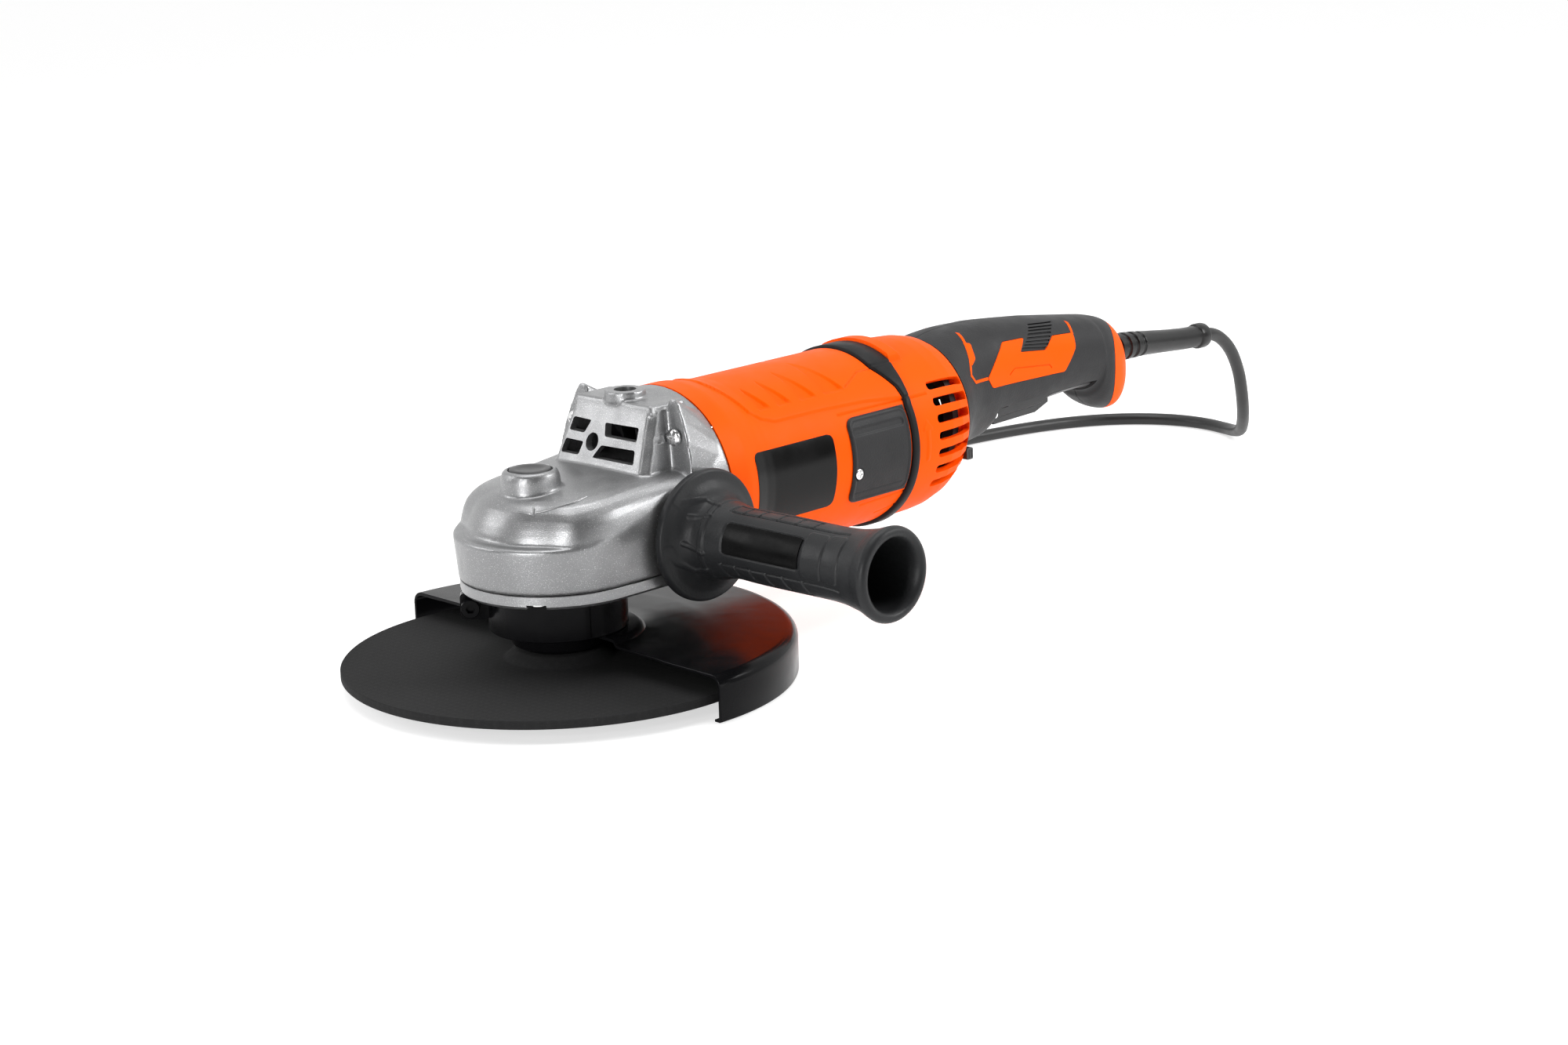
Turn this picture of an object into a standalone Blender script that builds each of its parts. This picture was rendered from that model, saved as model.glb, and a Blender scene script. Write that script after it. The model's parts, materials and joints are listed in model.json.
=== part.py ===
"""Two-handed 230 mm angle grinder, as separate named pieces.

The grinder stands on the lip of its guard with the spindle upright. The origin is the centre of the
spindle's end face, +Z runs up the spindle and +X runs back along the motor to the rear handle.
Sizes below are in millimetres, and MM turns them into Blender's metres.
"""

import math

import bmesh
import bpy
from mathutils import Vector

MM = 0.001
GAP = 0.3  # between neighbouring pieces
FLOOR_Z = -2.0  # the surface that the guard's lip stands on

# Axes
MOTOR_Z = 86.6  # height of the armature's axis
SWIVEL_Z = 90.4  # height of the rear handle's swivel axis
SIDE_HANDLE_X = 54.4
SIDE_HANDLE_Z = 72.5
LOCK_X = -14.3  # the spindle lock's pin, which is also the radius of the gear's lock holes

# Wheel and spindle
WHEEL_RADIUS = 115.0
WHEEL_TOP = 10.0
WHEEL_BOTTOM = 5.4
HUB_RADIUS = 27.0
HUB_RISE = 5.5  # how far the wheel's depressed centre stands above its top face
THREAD_RADIUS = 7.0
SPINDLE_TOP = 97.0

# Bevel gears, whose pitch cones meet where the two axes cross
RING_TEETH = 41
PINION_TEETH = 10
PITCH_RADIUS = 32.0  # of the ring gear, at its outer edge
TOOTH_OUTER = 32.6
TOOTH_INNER = 23.5
ADDENDUM = 1.15
DEDENDUM = 1.75
TOOTH_ROOT = 0.27  # half a tooth's width at its root and at its tip, as shares of the pitch
TOOTH_TIP = 0.10

# Gear head
SKIRT_BOTTOM = 55.3
SKIRT_TOP = 79.0
HEAD_REAR = 79.0
FLANGE_RADIUS = 54.0
EAR_Y = 38.0
EAR_Z = 122.0
SCREW_SEAT = 53.2  # x of the face that the head's long screws bear on
PLATE_SCREWS = ((-35.6, 25.9), (-35.6, -25.9), (34.0, -42.0), (34.0, 42.0))  # x and y
OUTLETS = (  # y from and to, z from and to, of the air slots in the turret's sloping face
    (12.0, 26.0, 120.0, 126.8), (13.5, 28.0, 108.8, 115.8),
    (-23.0, 2.0, 120.0, 126.8), (-27.0, 2.0, 108.8, 115.8),
)
OUTLET_HOLE = (8.2, 116.4, 4.2)  # y, z and radius of the round air hole between them

# Motor housing
HOUSING_RADIUS = 50.3
HOUSING_BORE = 47.0
HOUSING_REAR = 224.4
BAND_FRONT = 221.3
BAND_REAR = 227.7
CAP_REAR = 280.7
SWIVEL_RADIUS = 42.0
CORE_FRONT = 100.0
CORE_REAR = 160.0
ARMATURE_RADIUS = 26.5
COMMUTATOR_RADIUS = 17.0
BRUSH_X = 187.0

# Guard
GUARD_RADIUS = 125.0
GUARD_TOP = 22.4
GUARD_SHEET = 1.8
COLLAR_RADIUS = 36.6
GUARD_SPAN = (-92.5, 88.0)  # degrees about the spindle
LUG_ANGLE = 137.0
LUG_RADIUS = 45.0  # of the collar's clamp screw, from the spindle
LUG_Z = 40.5

# Rear handle: x, top, bottom and half width of each section, and how square the section is
HANDLE_SECTIONS = (
    (281.2, 132.6, 48.6, 41.8, 2.0),
    (287.0, 133.8, 53.5, 38.5, 2.05),
    (295.0, 135.0, 60.0, 34.0, 2.1),
    (306.0, 135.7, 64.5, 30.5, 2.15),
    (322.0, 135.4, 67.0, 28.0, 2.2),
    (336.0, 134.7, 72.6, 26.6, 2.3),
    (372.0, 131.2, 73.6, 24.8, 2.3),
    (386.0, 129.4, 77.4, 24.6, 2.3),
    (421.0, 124.4, 78.4, 24.4, 2.3),
    (428.0, 123.4, 72.2, 24.2, 2.3),
    (435.0, 122.2, 66.6, 23.6, 2.3),
    (443.5, 119.8, 63.0, 21.6, 2.3),
    (450.0, 116.0, 62.2, 19.2, 2.3),
    (455.5, 111.4, 63.4, 16.0, 2.2),
    (460.0, 106.0, 67.4, 12.0, 2.1),
    (463.0, 100.5, 73.0, 7.6, 2.0),
)
HANDLE_WALL = 2.6
LEVER_FRONT = 327.0
LEVER_REAR = 422.0
LEVER_PIVOT_X = 334.0
LEVER_PIVOT_Z = 80.0
BOOT_START = (463.6, 96.6)  # x and z of the strain relief's ends
BOOT_END = (553.7, SWIVEL_Z)

# Side handle, along -Y
GRIP_FLANGE_Y = -54.6
GRIP_END_Y = -190.5
GRIP_RADIUS = 19.0
GRIP_FLANGE_RADIUS = 35.0

# Mains lead
CORD_RADIUS = 4.0
COIL_CENTRE = (215.0, 125.0)
COIL_MIDDLE = 44.0
COIL_HEIGHT = 16.6
CORD_ROUTE = (
    (555.2, 0.0, 90.4), (562.0, 0.0, 89.6), (570.0, 0.3, 86.6), (578.0, 0.8, 81.4),
    (585.5, 1.6, 74.4), (592.3, 3.0, 66.0), (598.8, 5.0, 56.6), (605.2, 8.0, 46.0),
    (612.2, 12.0, 35.0), (620.2, 17.5, 24.4), (629.6, 25.0, 15.2), (640.0, 34.5, 8.2),
    (650.0, 46.5, 4.0), (658.0, 61.0, 2.3), (662.0, 78.0, 2.0), (661.0, 96.0, 2.0),
    (655.0, 114.0, 2.0), (644.0, 131.0, 2.0), (628.5, 146.0, 2.0), (608.5, 158.5, 2.0),
    (585.0, 168.0, 2.0), (558.0, 175.5, 2.0), (525.0, 181.5, 2.0), (490.0, 185.5, 2.0),
    (450.0, 187.5, 2.0), (410.0, 187.5, 2.0), (370.0, 186.0, 2.0), (330.0, 183.0, 2.0),
    (295.0, 179.6, 2.0), (265.0, 176.7, 2.0), (245.4, 174.4, 2.0),
)
CORD_STEP = 20.0  # between the tube's own points, two and a half diameters

ALUMINIUM = ((0.60, 0.60, 0.61), 0.45, 1.0)
STEEL = ((0.50, 0.50, 0.52), 0.30, 1.0)
BLACK_STEEL = ((0.015, 0.015, 0.016), 0.18, 0.4)
ORANGE = ((1.0, 0.10, 0.0), 0.45, 0.0)
DARK_PLASTIC = ((0.045, 0.045, 0.047), 0.50, 0.0)
BLACK_PLASTIC = ((0.02, 0.02, 0.021), 0.35, 0.0)
RUBBER = ((0.018, 0.018, 0.018), 0.70, 0.0)
ABRASIVE = ((0.03, 0.03, 0.03), 0.90, 0.0)
COPPER = ((0.72, 0.32, 0.16), 0.35, 1.0)
BRASS = ((0.75, 0.55, 0.22), 0.30, 1.0)
CARBON = ((0.03, 0.03, 0.035), 0.60, 0.0)


# ---------------------------------------------------------------- building tools


def clear_scene():
    for thing in list(bpy.data.objects):
        bpy.data.objects.remove(thing, do_unlink=True)


def dress(thing, finish):
    """Give an object a material of its own, from a (colour, roughness, metallic) finish."""
    colour, roughness, metallic = finish
    material = bpy.data.materials.new(thing.name)
    material.use_nodes = True
    shader = material.node_tree.nodes["Principled BSDF"]
    shader.inputs["Base Color"].default_value = (*colour, 1.0)
    shader.inputs["Roughness"].default_value = roughness
    shader.inputs["Metallic"].default_value = metallic
    thing.data.materials.clear()
    thing.data.materials.append(material)


def piece(name, points, faces):
    """A mesh object from points in millimetres; doubled points are merged and the faces turned out."""
    mesh = bpy.data.meshes.new(name)
    shape = bmesh.new()
    corners = [shape.verts.new(Vector(p) * MM) for p in points]
    for face in faces:
        shape.faces.new([corners[i] for i in face])
    bmesh.ops.remove_doubles(shape, verts=shape.verts, dist=1e-6)
    bmesh.ops.dissolve_degenerate(shape, edges=shape.edges, dist=1e-6)
    loose = [edge for edge in shape.edges if not edge.link_faces]
    bmesh.ops.delete(shape, geom=loose, context="EDGES")
    bmesh.ops.recalc_face_normals(shape, faces=shape.faces)
    shape.to_mesh(mesh)
    shape.free()
    thing = bpy.data.objects.new(name, mesh)
    bpy.context.scene.collection.objects.link(thing)
    return thing


def finish(thing, look, origin=None):
    """Shade a finished piece, colour it, and put its origin on its joint's axis."""
    if origin is not None:
        shift = Vector(origin) * MM
        for vertex in thing.data.vertices:
            vertex.co -= shift
        thing.location = shift
    thing.data.shade_smooth()
    thing.data.set_sharp_from_angle(angle=math.radians(32))
    dress(thing, look)
    return thing


def place(axis, r, angle, h, centre):
    """A point at radius r, angle in degrees and height h along an axis through centre."""
    a = math.radians(angle)
    across, up = r * math.cos(a), r * math.sin(a)
    if axis == "Z":
        local = (across, up, h)
    elif axis == "X":
        local = (h, -across, up)
    else:
        local = (across, h, up)
    return tuple(c + d for c, d in zip(centre, local))


def rings_to_faces(count, around, closed_around, closed_along):
    faces = []
    for i in range(count if closed_along else count - 1):
        for j in range(around if closed_around else around - 1):
            a = i * around + j
            b = i * around + (j + 1) % around
            c = (i + 1) % count * around + (j + 1) % around
            d = (i + 1) % count * around + j
            faces.append((a, b, c, d))
    return faces


def turned(name, axis, centre, profile, steps=40, start=0.0, end=360.0):
    """Turn a closed (radius, height) outline about an axis, all the way round or over a sector.

    Angles are in degrees: from +X towards +Y about Z, and from -Y towards +Z about X.
    """
    whole = end - start >= 360.0
    around = steps if whole else steps + 1
    points = []
    for r, h in profile:
        for j in range(around):
            points.append(place(axis, r, start + (end - start) * j / steps, h, centre))
    faces = rings_to_faces(len(profile), around, whole, True)
    if not whole:
        faces.append(tuple(i * around for i in range(len(profile))))
        faces.append(tuple(i * around + around - 1 for i in reversed(range(len(profile)))))
    return piece(name, points, faces)


def tube(name, axis, centre, inner, outer, low, high, steps=40, start=0.0, end=360.0):
    outline = ((inner, low), (outer, low), (outer, high), (inner, high))
    return turned(name, axis, centre, outline, steps, start, end)


def rod(name, axis, centre, radius, low, high, steps=24):
    return turned(name, axis, centre, ((0, low), (radius, low), (radius, high), (0, high)), steps)


def prism(name, outline, low, high, axis="Z"):
    """Extrude a flat outline along an axis; the outline's pairs are the other two axes in order."""
    def at(pair, h):
        u, v = pair
        return {"X": (h, u, v), "Y": (u, h, v), "Z": (u, v, h)}[axis]

    count = len(outline)
    points = [at(pair, h) for h in (low, high) for pair in outline]
    faces = rings_to_faces(2, count, True, False)
    faces.append(tuple(range(count)))
    faces.append(tuple(reversed(range(count, 2 * count))))
    return piece(name, points, faces)


def block(name, low, high):
    (x0, y0, z0), (x1, y1, z1) = low, high
    return prism(name, ((x0, y0), (x1, y0), (x1, y1), (x0, y1)), z0, z1)


def loft(name, rings):
    """Join closed rings of equal point count, and cap both ends."""
    around = len(rings[0])
    faces = rings_to_faces(len(rings), around, True, False)
    faces.append(tuple(range(around)))
    faces.append(tuple(reversed(range((len(rings) - 1) * around, len(rings) * around))))
    return piece(name, [p for ring in rings for p in ring], faces)


def oval(x, top, bottom, half_width, power, steps=24):
    """A superellipse across X: power 2 is an ellipse, and more is squarer."""
    middle, half_height = (top + bottom) / 2, (top - bottom) / 2
    ring = []
    for j in range(steps):
        a = 2 * math.pi * j / steps
        c, s = math.cos(a), math.sin(a)
        y = math.copysign(abs(c) ** (2 / power), c) * half_width
        z = math.copysign(abs(s) ** (2 / power), s) * half_height
        ring.append((x, y, middle + z))
    return ring


def is_closed(mesh):
    shape = bmesh.new()
    shape.from_mesh(mesh)
    closed = all(len(edge.link_faces) == 2 for edge in shape.edges)
    shape.free()
    return closed


def boolean(target, operation, *tools):
    """Apply Booleans to a piece in place, and remove the tools.

    The exact solver comes first; where faces in one plane defeat it, the manifold solver is used.
    """
    for tool in tools:
        for solver in ("EXACT", "MANIFOLD"):
            change = target.modifiers.new("boolean", "BOOLEAN")
            change.operation = operation
            change.solver = solver
            change.object = tool
            graph = bpy.context.evaluated_depsgraph_get()
            result = bpy.data.meshes.new_from_object(target.evaluated_get(graph))
            target.modifiers.remove(change)
            if is_closed(result):
                break
        target.data = result
        bpy.data.objects.remove(tool, do_unlink=True)
    return target


def join(target, *tools):
    return boolean(target, "UNION", *tools)


def cut(target, *tools):
    return boolean(target, "DIFFERENCE", *tools)


def keep(target, *tools):
    return boolean(target, "INTERSECT", *tools)


# ---------------------------------------------------------------- spindle and wheel


def make_spindle():
    outline = (
        (0, 0), (THREAD_RADIUS - 1, 0), (THREAD_RADIUS, 1), (THREAD_RADIUS, 26.2), (11, 26.2),
        (11, 52), (8.5, 52), (8.5, 66), (8, 66), (8, 80), (5, 80), (5, SPINDLE_TOP), (0, SPINDLE_TOP),
    )
    finish(turned("spindle", "Z", (0, 0, 0), outline, 18), STEEL, (0, 0, 0))


def make_wheel():
    rise = HUB_RISE
    outline = (
        (11.4, WHEEL_BOTTOM + rise), (HUB_RADIUS - 4, WHEEL_BOTTOM + rise), (HUB_RADIUS + 3, WHEEL_BOTTOM),
        (WHEEL_RADIUS, WHEEL_BOTTOM), (WHEEL_RADIUS, WHEEL_TOP), (HUB_RADIUS + 3, WHEEL_TOP),
        (HUB_RADIUS - 4, WHEEL_TOP + rise), (11.4, WHEEL_TOP + rise),
    )
    finish(turned("grinding_wheel", "Z", (0, 0, 0), outline, 36), ABRASIVE, (0, 0, 0))
    seat = WHEEL_TOP + rise + GAP
    flange = (
        (THREAD_RADIUS + GAP, seat), (20, seat), (25, seat + 2.5), (25, seat + 8), (22, 26),
        (THREAD_RADIUS + GAP, 26),
    )
    finish(turned("inner_flange", "Z", (0, 0, 0), flange, 24), BLACK_STEEL, (0, 0, 0))
    top = WHEEL_BOTTOM + rise - GAP
    nut = ((THREAD_RADIUS + GAP, 3.4), (16, 3.4), (19.5, 5), (19.5, top), (THREAD_RADIUS + GAP, top))
    locknut = turned("locknut", "Z", (0, 0, 0), nut, 24)
    for angle in (45, 135, 225, 315):
        x, y, _ = place("Z", 13.5, angle, 0, (0, 0, 0))
        cut(locknut, rod("pin_hole", "Z", (x, y, 0), 2.2, 2, 7, 10))
    finish(locknut, BLACK_STEEL, (0, 0, 0))


# ---------------------------------------------------------------- bevel gears


def toothed(name, axis, centre, teeth, phase, stations):
    """Turn an outline into a gear. A plain station is (radius, height), with one point to a tooth.

    A toothed station is a pair of them, at the tooth's root and at its tip, with four points to a tooth.
    """
    pitch = 360.0 / teeth
    points, faces, firsts, widths = [], [], [], []
    for station in stations:
        plain = isinstance(station[0], (int, float))
        firsts.append(len(points))
        widths.append(1 if plain else 4)
        for tooth in range(teeth):
            middle = (tooth + phase) * pitch
            if plain:
                points.append(place(axis, station[0], middle, station[1], centre))
                continue
            (at_root, at_tip) = station
            for offset, (r, h) in (
                (-TOOTH_ROOT, at_root), (-TOOTH_TIP, at_tip), (TOOTH_TIP, at_tip), (TOOTH_ROOT, at_root),
            ):
                points.append(place(axis, r, middle + offset * pitch, h, centre))
    for i, (first, width) in enumerate(zip(firsts, widths)):
        other, breadth = firsts[(i + 1) % len(stations)], widths[(i + 1) % len(stations)]
        for tooth in range(teeth):
            after = (tooth + 1) % teeth
            a, b = first + tooth * width, first + after * width
            c, d = other + after * breadth, other + tooth * breadth
            if width == breadth:
                for k in range(width):
                    near = (a + k, a + k + 1) if k < width - 1 else (a + k, b)
                    far = (d + k + 1, d + k) if k < width - 1 else (c, d + k)
                    faces.append((*near, *far))
            elif width == 4:
                faces += [(a, a + 1, d), (a + 1, a + 2, d), (a + 2, a + 3, d), (a + 3, b, c, d)]
            else:
                faces += [(d, d + 1, a), (d + 1, d + 2, a), (d + 2, d + 3, a), (d + 3, c, b, a)]
    return piece(name, points, faces)


def make_ring_gear():
    drop = PINION_TEETH / RING_TEETH  # fall of the pitch cone per mm

    def tooth(r):
        pitch_z = MOTOR_Z - drop * r
        scale = r / PITCH_RADIUS
        return ((r, pitch_z - DEDENDUM * scale), (r, pitch_z + ADDENDUM * scale))

    plain = ((8.3, 66.3), (26, 66.3), (TOOTH_OUTER, 72.5))
    web = ((TOOTH_INNER - 1, 78.6), (8.3, 78.6))
    stations = [*plain, tooth(TOOTH_OUTER), tooth(TOOTH_INNER), *web]
    gear = toothed("ring_gear", "Z", (0, 0, 0), RING_TEETH, 0.0, stations)
    for angle in (0, 90, 180, 270):
        x, y, _ = place("Z", -LOCK_X, angle, 0, (0, 0, 0))
        cut(gear, rod("lock_hole", "Z", (x, y, 0), 3.7, 60, 82, 12))
    finish(gear, STEEL, (0, 0, 0))


def make_pinion():
    slope = PINION_TEETH / RING_TEETH  # rise of the pitch cone per mm

    def tooth(x):
        scale = x / PITCH_RADIUS
        return ((slope * x - DEDENDUM * scale, x), (slope * x + ADDENDUM * scale, x))

    centre = (0, 0, MOTOR_Z)
    stations = [(0.5, TOOTH_INNER), tooth(TOOTH_INNER), tooth(TOOTH_OUTER)]
    stations += [(5.8, TOOTH_OUTER + 0.4), (0.5, TOOTH_OUTER + 0.4)]
    # A gap of the pinion faces the ring gear's tooth, which lies straight below the motor's axis.
    phase = 0.5 - 90.0 * PINION_TEETH / 360.0
    gear = toothed("pinion_gear", "X", centre, PINION_TEETH, phase, stations)
    hub = rod("hub", "X", centre, 7.4, TOOTH_OUTER + 0.35, 41, 20)
    core = rod("core", "X", centre, 5.5, TOOTH_OUTER - 1, TOOTH_OUTER + 2, 12)
    join(gear, core, hub)
    cut(gear, rod("bore", "X", centre, 4.3, 29.7, 45, 20))
    finish(gear, STEEL, centre)


# ---------------------------------------------------------------- gear head


def ease(t):
    t = min(max(t, 0.0), 1.0)
    return t * t * (3 - 2 * t)


def head_outline(front, side, rear, steps=16):
    """A nose about the spindle that widens from its front to straight sides, back to x = rear."""
    arc = []
    for j in range(steps + 1):
        angle = 90 + 180 * j / steps
        radius = front + (side - front) * ease((abs(angle - 180) - 36) / 30)
        arc.append((radius * math.cos(math.radians(angle)), radius * math.sin(math.radians(angle))))
    return [(rear, side)] + arc + [(rear, -side)]


def head_ring(front, side, z, slope):
    return [(x, y, z + slope * max(x + 20, 0)) for x, y in head_outline(front, side, 64)]


def gear_case_shell():
    body = loft(
        "gear_case",
        [
            head_ring(50.5, 50.5, SKIRT_BOTTOM, 0),
            head_ring(52.5, 52.5, 78, 0),
            head_ring(51.4, 52.5, 79.8, 0.2),
            head_ring(46.8, 52.4, 80.4, 0.27),
            head_ring(45.4, 50.8, 88.5, 0.18),
            head_ring(42.2, 46.0, 96.0, 0.10),
            head_ring(35.0, 37.0, 100.4, 0.06),
            head_ring(18.0, 19.0, 102.4, 0.04),
        ],
    )
    flange = turned(
        "flange", "X", (0, 0, MOTOR_Z),
        ((0, 57), (51.5, 57), (53.2, 62), (FLANGE_RADIUS, 70), (FLANGE_RADIUS, HEAD_REAR), (0, HEAD_REAR)),
        28,
    )
    low = [(33, -33), (37, -36.5), (62, -36.5), (62, 36.5), (37, 36.5), (33, 33)]
    high = [(46, -27), (50, -30), (62, -30), (62, 30), (50, 30), (46, 27)]
    turret = loft("turret", [[(x - 4, y * 1.02, 99) for x, y in low], [(x, y, 136) for x, y in high]])
    crown = loft(
        "crown",
        [[(50, -31, 135), (62, -31, 135), (62, 31, 135), (50, 31, 135)],
         [(52, -26, 138), (62, -26, 138.5), (62, 26, 138.5), (52, 26, 138)]],
    )
    join(body, flange, turret, crown)
    for side in (-1, 1):
        outline = (
            (31, 90), (31, 138), (33.5, 142), (36.4, 142), (38.2, 140.4), (46.8, 121), (51.2, 103),
            (51.6, 92),
        )
        front = [(52 + 3.6 * (z - 104) / 38, side * y, z) for y, z in outline]
        ear = loft("ear", [front, [(66, y, z - 0.8) for _, y, z in front]])
        lower_lug = rod("lower_lug", "X", (0, side * EAR_Y, 2 * MOTOR_Z - EAR_Z), 6.5, 53.5, 70, 16)
        join(body, ear, lower_lug)
    for side in (-1, 1):
        boss = turned(
            "side_boss", "Y", (SIDE_HANDLE_X, 0, SIDE_HANDLE_Z),
            ((0, 40 * side), (15, 40 * side), (13.5, 54 * side), (0, 54 * side)), 24,
        )
        join(body, boss)
    join(
        body,
        rod("top_boss", "Z", (SIDE_HANDLE_X, 0, 0), 10.9, 130, 142.8, 24),
        turned(
            "lock_boss", "Z", (LOCK_X, 0, 0),
            ((0, 92), (16, 92), (15.4, 109), (13.4, 112.8), (0, 112.8)), 28,
        ),
    )
    return body


def make_gear_case():
    body = gear_case_shell()
    motor = (0, 0, MOTOR_Z)
    chamber = ((0, 50), (37, 50), (37, 84), (25, 90), (0, 90))
    cut(
        body,
        turned("chamber", "Z", (0, 0, 0), chamber, 18),
        rod("pinion_space", "X", motor, 10, 12, 40, 16),
        rod("shaft_hole", "X", motor, 8.6, 36, 46, 14),
        rod("bearing_pocket", "X", motor, 16.5, 45, 66, 20),
        rod("fan_chamber", "X", motor, 47, 62, 90, 24),
        rod("bush_hole", "Z", (0, 0, 0), 8.5, 85, 98.3, 14),
        rod("button_pocket", "Z", (LOCK_X, 0, 0), 11.6, 105, 120, 18),
        rod("spring_pocket", "Z", (LOCK_X, 0, 0), 6.0, 99.6, 107, 12),
        rod("pin_hole", "Z", (LOCK_X, 0, 0), 3.5, 85, 101, 10),
        rod("top_hole", "Z", (SIDE_HANDLE_X, 0, 0), 6, 133.5, 150, 16),
    )
    for side in (-1, 1):
        reach = sorted((side * 37, side * 60))
        cut(
            body,
            rod("handle_hole", "Y", (SIDE_HANDLE_X, 0, SIDE_HANDLE_Z), THREAD_RADIUS + GAP, *reach, 18),
            rod("upper_screw_hole", "X", (0, side * EAR_Y, EAR_Z), 2.7, 50, 90, 8),
            rod("screw_head_space", "X", (0, side * EAR_Y, 2 * MOTOR_Z - EAR_Z), 5.4, 46, SCREW_SEAT, 12),
            rod("lower_screw_hole", "X", (0, side * EAR_Y, 2 * MOTOR_Z - EAR_Z), 2.7, 50, 90, 8),
        )
    # Four slots and a round hole in the turret's sloping face let the fan's air out forwards.
    duct = loft(
        "duct",
        [[(37, -30, 107), (70, -30, 107), (70, 30, 107), (37, 30, 107)],
         [(48, -25, 131), (70, -25, 131), (70, 25, 131), (48, 25, 131)]],
    )
    cut(body, duct)
    for y0, y1, z0, z1 in OUTLETS:
        cut(body, block("outlet", (25, y0, z0), (50, y1, z1)))
    hole_y, hole_z, hole_radius = OUTLET_HOLE
    cut(body, rod("outlet_hole", "X", (0, hole_y, hole_z), hole_radius, 25, 50, 12))
    for x, y in PLATE_SCREWS:
        cut(body, rod("plate_screw_hole", "Z", (x, y, 0), 2.4, 50, 66, 8))
    finish(body, ALUMINIUM)


def make_bearing_plate():
    plate = prism("bearing_plate", head_outline(50.2, 50.2, 58), 48, SKIRT_BOTTOM - GAP)
    join(plate, rod("boss", "Z", (0, 0, 0), 24, 50, 65.9, 24), rod("neck", "Z", (0, 0, 0), 33.3, 27, 50, 28))
    cut(
        plate,
        rod("bearing_seat", "Z", (0, 0, 0), 20.4, 52, 70, 24),
        rod("hole", "Z", (0, 0, 0), 12.5, 20, 60, 16),
    )
    # The rear flange of the head reaches lower than the plate, which is cut back clear of it.
    cut(plate, rod("flange_clearance", "X", (0, 0, MOTOR_Z), 54.5, 56.5, 90, 32))
    for y in (-EAR_Y, EAR_Y):
        cut(plate, rod("lug_clearance", "X", (0, y, 2 * MOTOR_Z - EAR_Z), 7.2, 49, 70, 16))
    for x, y in PLATE_SCREWS:
        cut(plate, rod("hole", "Z", (x, y, 0), 2.7, 40, 60, 8))
        cut(plate, rod("recess", "Z", (x, y, 0), 5, 47, 50.6, 12))
    finish(plate, ALUMINIUM)
    for number, (x, y) in enumerate(PLATE_SCREWS, 1):
        outline = ((0, 48.6), (4.4, 48.6), (4.4, 50.3), (2.1, 50.3), (2.1, 64), (0, 64))
        screw = turned(f"plate_screw_{number}", "Z", (x, y, 0), outline, 14)
        cut(screw, block("drive", (x - 2.6, y - 0.5, 48), (x + 2.6, y + 0.5, 49.5)))
        finish(screw, STEEL)


def make_head_screws():
    """Long screws through the head's lugs into the motor housing."""
    places = [(y, z) for z in (EAR_Z, 2 * MOTOR_Z - EAR_Z) for y in (-EAR_Y, EAR_Y)]
    for number, (y, z) in enumerate(places, 1):
        seat = SCREW_SEAT
        outline = (
            (0, seat - 3), (4.6, seat - 2), (4.6, seat - GAP), (2.4, seat - GAP), (2.4, 77), (1.7, 77.8),
            (1.7, 90), (0, 90),
        )
        screw = turned(f"gear_case_screw_{number}", "X", (0, y, z), outline, 14)
        cut(screw, block("drive", (seat - 4, y - 0.5, z - 2.6), (seat - 1.7, y + 0.5, z + 2.6)))
        finish(screw, STEEL)


def make_bearings():
    motor = (0, 0, MOTOR_Z)

    def ball_bearing(name, axis, centre, bore, outer, low, high):
        """Two races with a shallow shield groove between them."""
        mid, half = (bore + outer) / 2, (outer - bore) * 0.22
        outline = (
            (bore, low), (mid - half, low), (mid - half, low + 0.7), (mid + half, low + 0.7),
            (mid + half, low), (outer, low), (outer, high), (bore, high),
        )
        finish(turned(name, axis, centre, outline, 18), STEEL)

    ball_bearing("spindle_bearing", "Z", (0, 0, 0), 8.8, 19.7, 52.3, 64.3)
    ball_bearing("front_bearing", "X", motor, 6.3, 16.0, 46.2, 56.2)
    ball_bearing("rear_bearing", "X", motor, 5.3, 13.0, 204.6, 213.4)
    finish(tube("spindle_bush", "Z", (0, 0, 0), 5.3, 8.0, 90.3, 98.0, 20), BRASS)


# ---------------------------------------------------------------- spindle lock


def make_lock():
    centre = (LOCK_X, 0, 0)
    outline = (
        (0, 80.2), (2.2, 80.2), (3.0, 81.2), (3.0, 109.4), (11.2, 109.4), (11.2, 112.6), (10.4, 113.2),
        (0, 113.2),
    )
    finish(turned("lock_button", "Z", centre, outline, 20), BLACK_PLASTIC, (LOCK_X, 0, 109.4))
    turns, per_turn = 3.5, 10
    points = []
    for j in range(int(turns * per_turn) + 1):
        share = j / (turns * per_turn)
        x, y, _ = place("Z", 4.5, 360 * turns * share, 0, centre)
        points.append((x, y, 100.6 + (108.4 - 100.6) * share))
    wire("lock_spring", points, 0.45, STEEL, 0)


def wire(name, points, radius, look, resolution):
    """A round wire along points in millimetres, with closed ends."""
    curve = bpy.data.curves.new(name, "CURVE")
    curve.dimensions = "3D"
    curve.bevel_depth = radius * MM
    curve.bevel_resolution = resolution
    curve.use_fill_caps = True
    line = curve.splines.new("POLY")
    line.points.add(len(points) - 1)
    for point, (x, y, z) in zip(line.points, points):
        point.co = (x * MM, y * MM, z * MM, 1.0)
    thing = bpy.data.objects.new(name, curve)
    bpy.context.scene.collection.objects.link(thing)
    dress(thing, look)
    return thing


# ---------------------------------------------------------------- guard


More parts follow.
